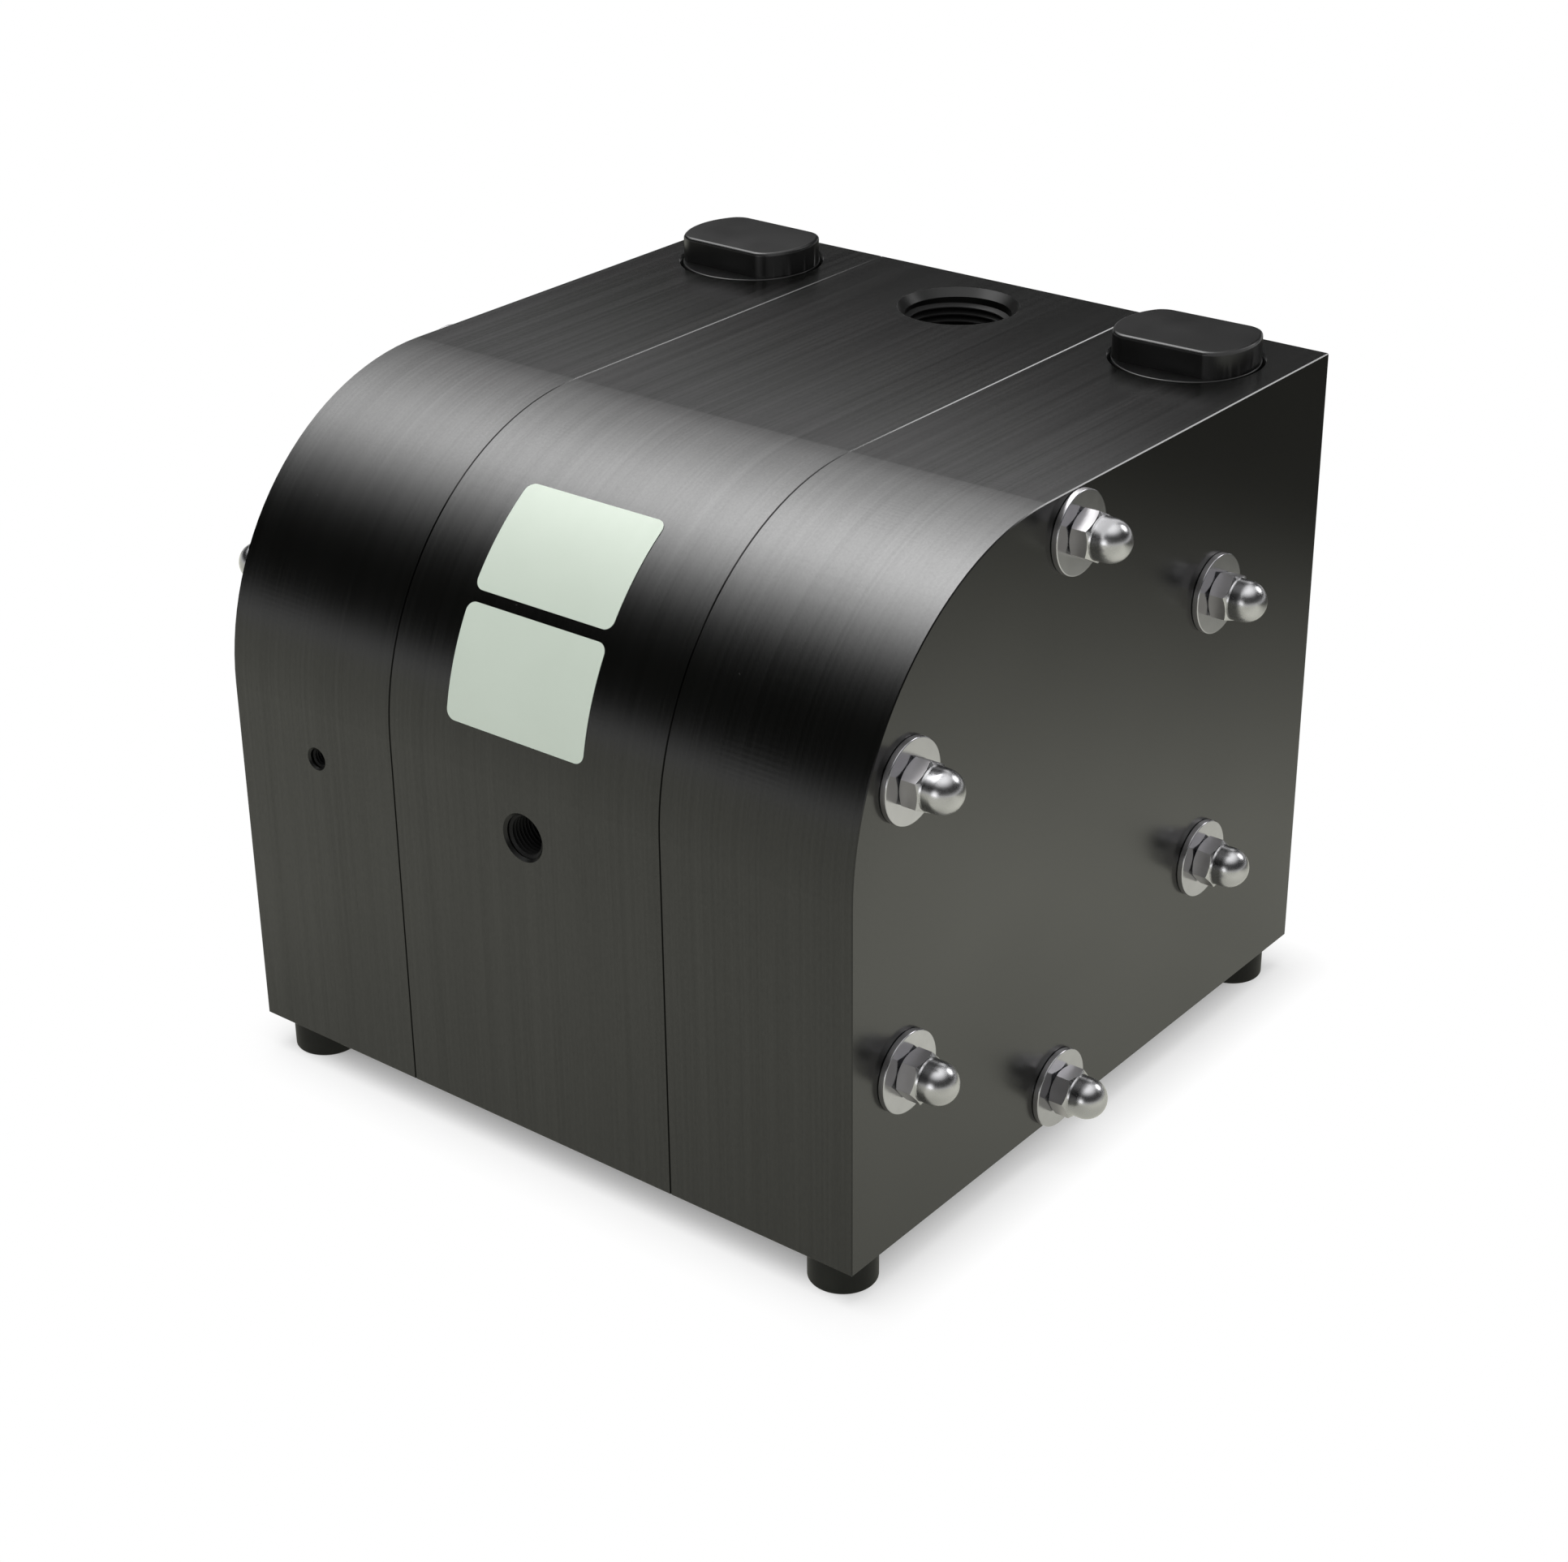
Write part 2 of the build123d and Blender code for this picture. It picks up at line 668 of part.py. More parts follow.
# Valve sleeve: a groove round the outside and a drilling right through for each air line
sleeve_grooves = {
    0.0: inlet_groove_width,
    outlet_x: outlet_groove_width,
    -outlet_x: outlet_groove_width,
    exhaust_x: exhaust_groove_width,
    -exhaust_x: exhaust_groove_width,
    pilot_x: pilot_groove_width,
    -pilot_x: pilot_groove_width,
}
with BuildPart() as valve_sleeve:
    with BuildSketch(front_view(0, valve_y, axis_z)):
        with Locations((0, sleeve_bore_diameter / 2)):
            Rectangle(
                sleeve_length,
                (sleeve_diameter - sleeve_bore_diameter) / 2 - seat_gap,
                align=(Align.CENTER, Align.MIN),
            )
        for line_x, groove_width in sleeve_grooves.items():
            with Locations((line_x, sleeve_radius)):
                Rectangle(groove_width, 2 * sleeve_groove_depth, mode=Mode.SUBTRACT)
    revolve(axis=valve_axis)
    with BuildSketch(Plane.XY.offset(axis_z)):
        for line_x in sleeve_grooves:
            line_diameter = sleeve_pilot_diameter if abs(line_x) == pilot_x else sleeve_port_diameter
            with Locations((line_x, valve_y)):
                Circle(line_diameter / 2)
    extrude(amount=sleeve_radius, both=True, mode=Mode.SUBTRACT)

# Spool at its left stop: three lands with two waists between them
with BuildPart() as valve_spool:
    with BuildSketch(Plane.YZ.offset(spool_x)):
        with Locations((valve_y, axis_z)):
            Circle(spool_radius)
    extrude(amount=spool_half_length, both=True)
    chamfer(circles_of(valve_spool, spool_radius), spool_edge)
    waist_start = spool_centre_land / 2
    waist_end = spool_half_length - spool_end_land
    with BuildSketch(front_view(spool_x, valve_y, axis_z)):
        with Locations((waist_start, spool_waist_diameter / 2)):
            Rectangle(waist_end - waist_start, spool_radius, align=Align.MIN)
        mirror(about=Plane.YZ)
    revolve(axis=valve_axis, mode=Mode.SUBTRACT)

# End caps of the sleeve's bore: a stop for the spool inside, a groove for a ring outside
with BuildPart() as valve_end_caps:
    with BuildSketch(front_view(0, valve_y, axis_z)):
        with Locations((sleeve_end_x, 0)):
            Rectangle(cap_thickness, sleeve_radius - seat_gap, align=Align.MIN)
        with Locations((sleeve_end_x - cap_boss_height, 0)):
            Rectangle(cap_boss_height, cap_boss_diameter / 2, align=Align.MIN)
        with Locations((sleeve_end_x + cap_thickness / 2, sleeve_radius)):
            Rectangle(cap_groove_width, 2 * cap_groove_depth, mode=Mode.SUBTRACT)
        mirror(about=Plane.YZ)
    revolve(axis=valve_axis)

with BuildPart() as end_cap_o_rings:
    for side in (1, -1):
        groove_x = side * (sleeve_end_x + cap_thickness / 2 - cap_groove_width / 2 + seat_gap)
        groove_wall = Plane(origin=(groove_x, valve_y, axis_z), z_dir=(side, 0, 0))
        extrude(
            ring_outline(groove_wall, sleeve_radius - cap_groove_depth + seat_gap, sleeve_radius - seat_gap),
            amount=cap_groove_width - 2 * seat_gap,
        )

# Retaining rings, sprung into their grooves with the opening below
with BuildPart() as end_cap_rings:
    for side in (1, -1):
        with BuildSketch(Plane.YZ.offset(side * (cap_end_x + seat_gap))):
            with Locations((valve_y, axis_z)):
                Circle(sleeve_radius + ring_depth - seat_gap)
                Circle(sleeve_radius + ring_depth - ring_wall, mode=Mode.SUBTRACT)
            with Locations((valve_y, axis_z)):
                Rectangle(
                    ring_opening, 2 * sleeve_radius, align=(Align.CENTER, Align.MAX), mode=Mode.SUBTRACT
                )
        extrude(amount=side * ring_thickness)

# Silencer: porous pad, perforated cover and its countersunk screws
with BuildPart() as silencer_pad:
    with BuildSketch(Plane.XZ.offset(-cover_back_y)):
        with Locations((0, axis_z)):
            Circle(silencer_bore_diameter / 2 - loose_gap)
    extrude(amount=silencer_pad_thickness)

with BuildPart() as silencer_cover:
    with BuildSketch(Plane.XZ.offset(-rear_y)):
        with Locations((0, axis_z)):
            Circle(cover_diameter / 2 - loose_gap)
            Circle(cover_hole_diameter / 2, mode=Mode.SUBTRACT)
            for ring in range(1, cover_ring_count + 1):
                with PolarLocations(ring * cover_ring_pitch, ring * cover_ring_holes):
                    Circle(cover_hole_diameter / 2, mode=Mode.SUBTRACT)
    extrude(amount=cover_thickness)
    chamfer(circles_of(silencer_cover, cover_diameter / 2 - loose_gap).sort_by(Axis.Y)[-1], edge_break)
    with Locations(Plane(origin=(0, rear_y, axis_z), z_dir=(0, 1, 0))):
        with PolarLocations(cover_screw_circle / 2, cover_screw_count, start_angle=45):
            CounterSinkHole(
                cover_screw_diameter / 2 + loose_gap, cover_screw_head / 2 + loose_gap, cover_thickness
            )

with BuildPart() as screw:
    head_depth = (cover_screw_head - cover_screw_diameter) / 2
    with BuildSketch(Plane.XZ):
        with BuildLine():
            Polyline(
                (0, 0),
                (cover_screw_head / 2, 0),
                (cover_screw_diameter / 2, -head_depth),
                (cover_screw_diameter / 2, -cover_screw_length),
                (0, -cover_screw_length),
                close=True,
            )
        make_face()
    revolve(axis=Axis.Z)
    with BuildSketch():
        RegularPolygon(cover_socket / 2, 6, major_radius=False)
    extrude(amount=-cover_socket_depth, mode=Mode.SUBTRACT)

with BuildPart() as silencer_screws:
    with Locations(Plane(origin=(0, rear_y, axis_z), z_dir=(0, 1, 0))):
        with PolarLocations(cover_screw_circle / 2, cover_screw_count, start_angle=45):
            add(screw.part)

# Sealing rings round the suction and discharge passages at the two seams
with BuildPart() as passage_o_rings:
    for side in (1, -1):
        for passage_z in (suction_z, discharge_z):
            groove_floor = Plane(
                origin=(side * (seam_x - face_ring_depth), column_y, passage_z), z_dir=(side, 0, 0)
            )
            extrude(
                ring_outline(
                    groove_floor,
                    face_ring_inner_diameter / 2 + seat_gap,
                    face_ring_inner_diameter / 2 + face_ring_width - seat_gap,
                ),
                amount=face_ring_depth,
            )


def valve_seat(bottom_z):
    """Ring with a cone at the top for the ball, in the right column."""
    with BuildPart() as seat:
        with BuildSketch(front_view(column_x, column_y, bottom_z)):
            with BuildLine():
                Polyline(
                    (seat_bore_radius, 0),
                    (column_radius - loose_gap, 0),
                    (column_radius - loose_gap, seat_height),
                    (seat_bore_radius + seat_cone_height, seat_height),
                    (seat_bore_radius, cone_start),
                    close=True,
                )
            make_face()
        revolve(axis=column_axis)
    return seat


def valve_ball(bottom_z):
    """Ball at rest on the seat that stands at a given height, in the right column."""
    with BuildPart() as ball:
        with Locations((column_x, column_y, bottom_z + ball_rise)):
            Sphere(ball_radius)
    return ball


def valve_guide(bottom_z, window_direction):
    """Tube with four ribs round the ball, a cross that stops it, and one side window."""
    base = Plane(origin=(column_x, column_y, bottom_z), x_dir=window_direction, z_dir=(0, 0, 1))
    with BuildPart() as guide:
        with BuildSketch(base):
            Circle(guide_outer_radius)
        extrude(amount=guide_height)
        with BuildSketch(base):
            Circle(guide_inner_radius)
        extrude(amount=guide_height, mode=Mode.SUBTRACT)
        with BuildSketch(base.offset(guide_rib_start)):
            Rectangle(2 * guide_inner_radius + guide_wall, guide_rib_width, rotation=45)
            Rectangle(2 * guide_inner_radius + guide_wall, guide_rib_width, rotation=-45)
        extrude(amount=stop_rise + guide_cross_height - guide_rib_start)
        with BuildSketch(base):
            Circle(ball_radius + ball_side_gap)
        extrude(amount=stop_rise, mode=Mode.SUBTRACT)
        with BuildSketch(Plane(origin=base.offset(guide_window_height).origin, z_dir=base.x_dir)):
            Circle(guide_window_diameter / 2)
        extrude(amount=guide_outer_radius + guide_wall, mode=Mode.SUBTRACT)
    return guide


# Right valve column, from below: suction seat, ball and guide, then discharge seat, ball and guide
right_suction_seat = valve_seat(suction_seat_z)
right_suction_ball = valve_ball(suction_seat_z)
right_suction_guide = valve_guide(suction_guide_z, chamber_run * -1)
right_discharge_seat = valve_seat(discharge_seat_z)
right_discharge_ball = valve_ball(discharge_seat_z)
right_discharge_guide = valve_guide(discharge_guide_z, (-1, 0, 0))


def column_plug(side, turn):
    """Screwed plug: a round body flush with the block, and a head with two flats above it."""
    body = Plane(origin=(side * column_x, column_y, plug_bottom_z))
    head = body.offset(top_z - plug_bottom_z)
    with BuildPart() as plug:
        with BuildSketch(body):
            Circle(plug_radius)
        extrude(amount=top_z - plug_bottom_z)
        with BuildSketch(body.offset(plug_groove_start)):
            Circle(plug_radius)
            Circle(plug_radius - plug_groove_depth, mode=Mode.SUBTRACT)
        extrude(amount=plug_groove_width, mode=Mode.SUBTRACT)
        chamfer(circles_of(plug, plug_radius).sort_by(Axis.Z)[-1], plug_rim_edge)
        with BuildSketch(head) as head_outline:
            Circle(plug_radius - plug_rim_edge - plug_head_step)
            Rectangle(2 * plug_radius, plug_flats, rotation=turn, mode=Mode.INTERSECT)
            fillet(head_outline.vertices(), plug_corner)
        extrude(amount=plug_head_height)
        chamfer(plug.faces().sort_by(Axis.Z)[-1].edges(), plug_top_edge)
    return plug


right_column_plug = column_plug(1, plug_turns[0])
left_column_plug = column_plug(-1, plug_turns[1])

with BuildPart() as column_plug_o_rings:
    for side in (1, -1):
        groove_z = plug_bottom_z + plug_groove_start + seat_gap
        groove_floor = Plane(origin=(side * column_x, column_y, groove_z))
        extrude(
            ring_outline(
                groove_floor, plug_radius - plug_groove_depth + seat_gap, plug_bore_radius - seat_gap
            ),
            amount=plug_groove_width - 2 * seat_gap,
        )

# Buffers: rubber body, stud plate bonded in its top, tapped insert bonded in its underside
foot_places = GridLocations(2 * foot_x, 2 * foot_y, 2, 2)
plate_z = foot_height - foot_plate_thickness

with BuildPart() as foot:
    with BuildSketch(Plane.XZ) as foot_section:
        with BuildLine():
            Polyline(
                (0, foot_insert_height + seat_gap),
                (foot_insert_diameter / 2 + seat_gap, foot_insert_height + seat_gap),
                (foot_insert_diameter / 2 + seat_gap, foot_flange_thickness + seat_gap),
                (foot_plate_diameter / 2 + seat_gap, foot_flange_thickness + seat_gap),
                (foot_plate_diameter / 2 + seat_gap, 0),
                (foot_diameter / 2, 0),
                (foot_diameter / 2, foot_height),
                (foot_plate_diameter / 2 + seat_gap, foot_height),
                (foot_plate_diameter / 2 + seat_gap, plate_z),
                (0, plate_z),
                close=True,
            )
        make_face()
        chamfer(foot_section.vertices().group_by(Axis.X)[-1].sort_by(Axis.Y)[0], foot_edge)
    revolve(axis=Axis.Z)

with BuildPart() as foot_stud:
    with BuildSketch(Plane.XY.offset(plate_z)):
        Circle(foot_plate_diameter / 2)
    extrude(amount=foot_plate_thickness)
    with BuildSketch(Plane.XY.offset(foot_height)):
        Circle(foot_thread_diameter / 2)
    extrude(amount=foot_stud_length)

with BuildPart() as foot_insert:
    with BuildSketch():
        Circle(foot_plate_diameter / 2)
    extrude(amount=foot_flange_thickness)
    with BuildSketch():
        Circle(foot_insert_diameter / 2)
    extrude(amount=foot_insert_height)
    with BuildSketch():
        Circle(foot_thread_diameter / 2)
    extrude(amount=foot_insert_height, mode=Mode.SUBTRACT)

with BuildPart() as feet:
    with foot_places:
        add(foot.part)

with BuildPart() as foot_studs:
    with foot_places:
        add(foot_stud.part)

with BuildPart() as foot_inserts:
    with foot_places:
        add(foot_insert.part)

# Every piece under its own name, and the left hand ones as mirror images of the right
pieces = {
    "centre_housing": centre_housing,
    "right_housing": right_housing,
    "left_housing": left_housing,
    "tie_rods": tie_rods,
    "washers": washers,
    "dome_nuts": dome_nuts,
    "diaphragm_rod": diaphragm_rod,
    "rod_bushes": rod_bushes,
    "rod_seals": rod_seals,
    "valve_sleeve": valve_sleeve,
    "valve_spool": valve_spool,
    "valve_end_caps": valve_end_caps,
    "end_cap_o_rings": end_cap_o_rings,
    "end_cap_rings": end_cap_rings,
    "silencer_pad": silencer_pad,
    "silencer_cover": silencer_cover,
    "silencer_screws": silencer_screws,
    "passage_o_rings": passage_o_rings,
    "right_column_plug": right_column_plug,
    "left_column_plug": left_column_plug,
    "column_plug_o_rings": column_plug_o_rings,
    "feet": feet,
    "foot_studs": foot_studs,
    "foot_inserts": foot_inserts,
}
mirrored = {
    "membrane": right_membrane,
    "diaphragm_core": right_diaphragm_core,
    "suction_seat": right_suction_seat,
    "suction_ball": right_suction_ball,
    "suction_guide": right_suction_guide,
    "discharge_seat": right_discharge_seat,
    "discharge_ball": right_discharge_ball,
    "discharge_guide": right_discharge_guide,
}
for name, right_piece in mirrored.items():
    with BuildPart() as left_piece:
        mirror(right_piece.part, about=Plane.YZ)
    pieces["right_" + name] = right_piece
    pieces["left_" + name] = left_piece

os.makedirs("parts", exist_ok=True)
for name, piece in pieces.items():
    piece.part.label = name
    export_step(piece.part, f"parts/{name}.step")
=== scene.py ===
# %% [markdown]
# # Finish of an air operated diaphragm pump
# The pump is three machined plastic blocks pulled together by six tie rods. The frame brings every
# solid at its real size. This lesson gives each of them its finish, models the small parts that
# catch the light, and sets up a small photo studio. All lengths are in metres.

# %% Load the frame
import json
import math

import bpy
from mathutils import Matrix, Vector

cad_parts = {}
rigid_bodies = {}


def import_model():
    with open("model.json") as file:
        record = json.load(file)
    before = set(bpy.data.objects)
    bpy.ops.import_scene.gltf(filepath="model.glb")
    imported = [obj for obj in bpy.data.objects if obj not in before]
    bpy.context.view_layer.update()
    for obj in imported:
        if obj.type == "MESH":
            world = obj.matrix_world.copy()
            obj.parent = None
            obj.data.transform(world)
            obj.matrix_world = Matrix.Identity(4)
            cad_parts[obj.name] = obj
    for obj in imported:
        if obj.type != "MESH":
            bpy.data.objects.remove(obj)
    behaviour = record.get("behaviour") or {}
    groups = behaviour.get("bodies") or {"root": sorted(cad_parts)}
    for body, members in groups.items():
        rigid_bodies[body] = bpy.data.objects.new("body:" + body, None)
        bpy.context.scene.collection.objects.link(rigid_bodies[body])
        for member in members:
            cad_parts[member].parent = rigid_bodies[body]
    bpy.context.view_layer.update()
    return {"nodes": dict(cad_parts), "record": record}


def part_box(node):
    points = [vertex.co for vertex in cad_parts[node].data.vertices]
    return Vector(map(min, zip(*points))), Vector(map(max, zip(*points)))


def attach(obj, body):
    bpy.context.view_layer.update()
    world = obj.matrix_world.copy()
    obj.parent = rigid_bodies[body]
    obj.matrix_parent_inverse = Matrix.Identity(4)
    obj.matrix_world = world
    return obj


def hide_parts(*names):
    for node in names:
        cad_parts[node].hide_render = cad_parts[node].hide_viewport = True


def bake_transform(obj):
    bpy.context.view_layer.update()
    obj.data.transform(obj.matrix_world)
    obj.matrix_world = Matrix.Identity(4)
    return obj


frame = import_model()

millimetre = 0.001

# %% [markdown]
# The blocks give the places that other pieces need: the front, the rear, the top, the two ends and
# the seams between the blocks. The washers give the circle of tie rods, because one washer lies at
# its top and one at its bottom.

# %% Places taken from the frame
centre_low, centre_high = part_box("centre_housing")
front_y, rear_y = centre_low.y, centre_high.y
base_z, top_z = centre_low.z, centre_high.z
seam_x = centre_high.x
end_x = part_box("right_housing")[1].x
shoulder_radius = 84 * millimetre

washer_radius = 12 * millimetre
washer_low, washer_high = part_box("washers")
rod_axis_y = (washer_low.y + washer_high.y) / 2
rod_axis_z = (washer_low.z + washer_high.z) / 2
bolt_circle_radius = (washer_high.z - washer_low.z) / 2 - washer_radius
bolt_count = 6
print("block:", round(end_x * 2, 4), "wide and", round(rear_y - front_y, 4), "deep")
print("radius of the bolt circle:", round(bolt_circle_radius, 4))

# %% [markdown]
# The camera stands in front, to the right and above. Its place and direction were worked out from
# the corners of the block, so the picture and the model share one perspective. Its angles are in
# degrees, and the lens and sensor are in the camera's own millimetres.

# %% Camera
camera_place = Vector((0.5105, -0.6444, 0.4962))
camera_azimuth = 38.405
camera_elevation = 26.857
camera_roll = -0.615
camera_data = bpy.data.cameras.new("camera")
camera_data.lens = 68.59
camera_data.sensor_width = 36
camera = bpy.data.objects.new("camera", camera_data)
camera.matrix_world = (
    Matrix.Translation(camera_place)
    @ Matrix.Rotation(math.radians(camera_azimuth), 4, "Z")
    @ Matrix.Rotation(math.radians(90 - camera_elevation), 4, "X")
    @ Matrix.Rotation(math.radians(camera_roll), 4, "Z")
)
bpy.context.scene.collection.objects.link(camera)
bpy.context.scene.camera = camera
bpy.context.scene.view_settings.view_transform = "Standard"
print("camera distance from the middle of the base:", round(camera_place.length, 3))

# %% [markdown]
# ## Writing materials as expressions
# A Blender material is a net of nodes, which is quick to draw by hand but slow to read. So this
# lesson writes it as sums. A Wire stands for one output of a node, and adding, subtracting,
# multiplying or dividing wires adds the Math nodes that do it.

# %% Wires
class Wire:
    """One output of a shader node, which can be used in sums and products."""

    def __init__(self, finish, socket):
        self.finish = finish
        self.socket = socket

    def maths(self, operation, *values):
        """A Math node of the material that this wire belongs to."""
        return self.finish.node("ShaderNodeMath", {"operation": operation}, dict(enumerate(values)))

    def __add__(self, other):
        return self.maths("ADD", self, other)

    __radd__ = __add__

    def __mul__(self, other):
        return self.maths("MULTIPLY", self, other)

    __rmul__ = __mul__

    def __sub__(self, other):
        return self.maths("SUBTRACT", self, other)

    def __rsub__(self, other):
        return self.maths("SUBTRACT", other, self)

    def __truediv__(self, other):
        return self.maths("DIVIDE", self, other)

    def __pow__(self, other):
        return self.maths("POWER", self, other)

    def size(self):
        return self.maths("ABSOLUTE", self)

    def at_least(self, limit):
        return self.maths("MAXIMUM", self, limit)

    def at_most(self, limit):
        return self.maths("MINIMUM", self, limit)


# %% [markdown]
# A Finish is one material. Its node method makes any node: settings come first, then the values or
# wires of its sockets. The other methods are short names for the nodes that the finishes use most.

# %% Finishes
class Finish:
    """A procedural material, which can also be the node tree of the world."""

    def __init__(self, name, tree=None):
        self.name = name
        if tree is None:
            self.material = bpy.data.materials.new(name)
            self.material.use_nodes = True
            tree = self.material.node_tree
        self.tree = tree
        self.tree.nodes.clear()

    def node(self, kind, settings=None, sockets=None, output=0):
        """A node of any kind, with its settings first, and then its sockets by name or number."""
        made = self.tree.nodes.new(kind)
        for name, value in (settings or {}).items():
            if name == "stops":
                self.set_stops(made.color_ramp, value)
            else:
                setattr(made, name, value)
        for name, value in (sockets or {}).items():
            socket = made.inputs[name]
            if isinstance(value, Wire):
                self.tree.links.new(value.socket, socket)
            else:
                socket.default_value = value
        return Wire(self, made.outputs[output]) if made.outputs else None

    def set_stops(self, ramp, stops):
        """Stops of a colour ramp, as pairs of a place and a grey value."""
        while len(ramp.elements) < len(stops):
            ramp.elements.new(1.0)
        for element, (position, value) in zip(ramp.elements, stops):
            element.position = position
            element.color = (value, value, value, 1)

    def ramp(self, value, stops):
        """A grey for a value between 0 and 1, from pairs of a place and a grey."""
        return self.node("ShaderNodeValToRGB", {"stops": stops}, {0: value})

    def ray(self, kind):
        """1 for rays of a kind and 0 for all others."""
        return self.node("ShaderNodeLightPath", output=kind)

    def axes(self, coordinates):
        """The three parts of a kind of texture coordinates."""
        whole = self.node("ShaderNodeTexCoord", output=coordinates)
        apart = self.node("ShaderNodeSeparateXYZ", sockets={0: whole})
        return [Wire(self, output) for output in apart.socket.node.outputs]

    def stretched(self, scale):
        """Object coordinates, times one scale, or times a scale along each axis."""
        scales = scale if isinstance(scale, tuple) else (scale, scale, scale)
        coordinates = self.node("ShaderNodeTexCoord", output="Object")
        return self.node("ShaderNodeMapping", sockets={"Vector": coordinates, "Scale": scales})

    def noise(self, scale, detail=2.0, roughness=0.5):
        """Noise between 0 and 1, whose scale is in features per metre."""
        sockets = {"Vector": self.stretched(scale), "Scale": 1.0, "Detail": detail, "Roughness": roughness}
        return self.node("ShaderNodeTexNoise", sockets=sockets)

    def spread(self, value, low, high, to_low=0.0, to_high=1.0):
        """A value between low and high, carried over to another range and held there."""
        sockets = {0: value, 1: low, 2: high, 3: to_low, 4: to_high}
        return self.node("ShaderNodeMapRange", {"clamp": True}, sockets)

    def blend(self, factor, first, second):
        """A mix of two colours. The Mix node has its colour sockets at numbers 6 and 7."""
        return self.node("ShaderNodeMix", {"data_type": "RGBA"}, {0: factor, 6: first, 7: second}, output=2)

    def bump(self, height, distance, strength):
        """A Bump node for a height, whose full range stands for a distance in metres."""
        sockets = {"Height": height, "Distance": distance, "Strength": strength}
        return self.node("ShaderNodeBump", sockets=sockets)

    def emission(self, colour):
        """A light with this colour, which is the same from all sides."""
        return self.node("ShaderNodeEmission", sockets={"Color": colour, "Strength": 1.0})

    def mix(self, factor, first, second):
        """The first shader where the factor is 0, and the second where it is 1."""
        return self.node("ShaderNodeMixShader", sockets={0: factor, 1: first, 2: second})

    def output(self, shader):
        """The end of the net, which gives the finished material."""
        self.node("ShaderNodeOutputMaterial", sockets={"Surface": shader})
        return self.material

    def surface(self, **sockets):
        """The Principled shader, with its sockets named as words joined by underscores."""
        named = {name.replace("_", " "): value for name, value in sockets.items()}
        return self.output(self.node("ShaderNodeBsdfPrincipled", sockets=named))


def grey(value, warmth=0.0):
    """A neutral colour, or with warmth a slightly olive one."""
    return (value, value * (1 + warmth / 2), value * (1 - warmth), 1)


print("a warm grey:", [round(part, 3) for part in grey(0.5, 0.1)])

# %% [markdown]
# ## The studio
# The photograph shows near-black satin plastic that is drawn only by what it reflects. A long soft
# light overhead gives the broad bright band on the shoulder, the dark room gives the black band below
# it, and the pale table gives the olive grey of the front and the right end. So the room round the
# pump is dark for shiny surfaces just above the horizon, while the camera sees plain white.
#
# The soft light hangs over the pump along X, like a bar. Seen from the pump it is a band of sky that
# is brightest straight above, so its glow depends on the angle round the X axis: 0 degrees is the
# horizon in front, 90 degrees is overhead and 180 degrees is the horizon behind. It lies to the left,
# where the block mirrors it. The round steel nuts mirror the right half of the room too, so that half
# has its own lights: a crown overhead, a window in front and a lamp behind on the right.

# %% Glow of the room
room_fill = 0.6
# Glow by height, where 0 is straight down, 0.5 is the horizon and 1 is straight up.
height_stops = ((0.0, 0.9), (0.5, 1.0), (0.53, 0.7), (0.58, 0.1), (0.62, 0.006), (0.80, 0.006), (1.0, 0.06))
# Glow of the light bar by degrees round the X axis, and where along X it fades in and out.
bar_stops = (
    (36, 0.0), (46, 0.15), (54, 0.65), (67, 3.4), (80, 8.6), (92, 12.5), (105, 10.6), (117, 6.6),
    (130, 3.5), (143, 1.9), (152, 1.3), (160, 0.9), (180, 0.1),
)
bar_full_glow = 13.0
bar_fades_in = (-0.84, -0.50)
bar_fades_out = (-0.20, -0.38)
# The right half of the room, with an even glow and a crown that grows with the height.
right_half_starts = (-0.32, -0.12)
right_half_glow = 0.05
crown_glow = 1.9
crown_heights = (0.66, 0.95)
# Direction of each patch, how far it is full, where it ends, and its glow.
window_and_lamp = (
    ((0.0, -0.99, 0.10), 0.12, 0.34, 2.6),
    ((0.33, 0.77, 0.53), 0.08, 0.24, 9.0),
)
print("room: fill", room_fill, "and a light bar of", bar_full_glow)

# %% [markdown]
# All of these lights are worked out from the direction in which a ray leaves, which the world's
# Generated coordinates give. Only rays that come from a shiny surface see them. Matt surfaces see an
# even grey, so that the lights don't tint or flood them.

# %% Room
def studio_room():
    """White for the camera, an even fill for matt surfaces, and a dark room with lights for gloss."""
    world = bpy.data.worlds.new("studio")
    bpy.context.scene.world = world
    world.use_nodes = True
    room = Finish("studio", world.node_tree)
    x, y, z = room.axes("Generated")
    walls = room.ramp(z * 0.5 + 0.5, height_stops)
    degrees = z.maths("ARCTAN2", z, y * -1) * (180 / math.pi)
    bar = room.ramp(degrees / 180, [(stop / 180, glow / bar_full_glow) for stop, glow in bar_stops])
    reach = room.spread(x, *bar_fades_in) * room.spread(x, *bar_fades_out)
    crown = room.spread(z, *crown_heights) * crown_glow
    right_half = room.spread(x, *right_half_starts)

    def patch(middle, full, end):
        """Soft round patch of light, where a direction comes near to its middle."""
        away = [part - place for part, place in zip((x, y, z), middle)]
        return room.spread(sum(part * part for part in away) ** 0.5, end, full)

    patches = sum(patch(middle, full, end) * glow for middle, full, end, glow in window_and_lamp)
    shiny = walls + bar * reach * bar_full_glow + (crown + right_half_glow) * right_half + patches
    mirror_ray = room.ray("Is Glossy Ray") + room.ray("Is Transmission Ray")
    not_camera = room.blend(mirror_ray, grey(room_fill), shiny)
    seen = room.blend(room.ray("Is Camera Ray"), not_camera, grey(1.0))
    background = room.node("ShaderNodeBackground", sockets={"Color": seen, "Strength": 1.0})
    room.node("ShaderNodeOutputWorld", sockets={"Surface": background})
    return room


room = studio_room()
print("the room is a net of", len(room.tree.nodes), "nodes")

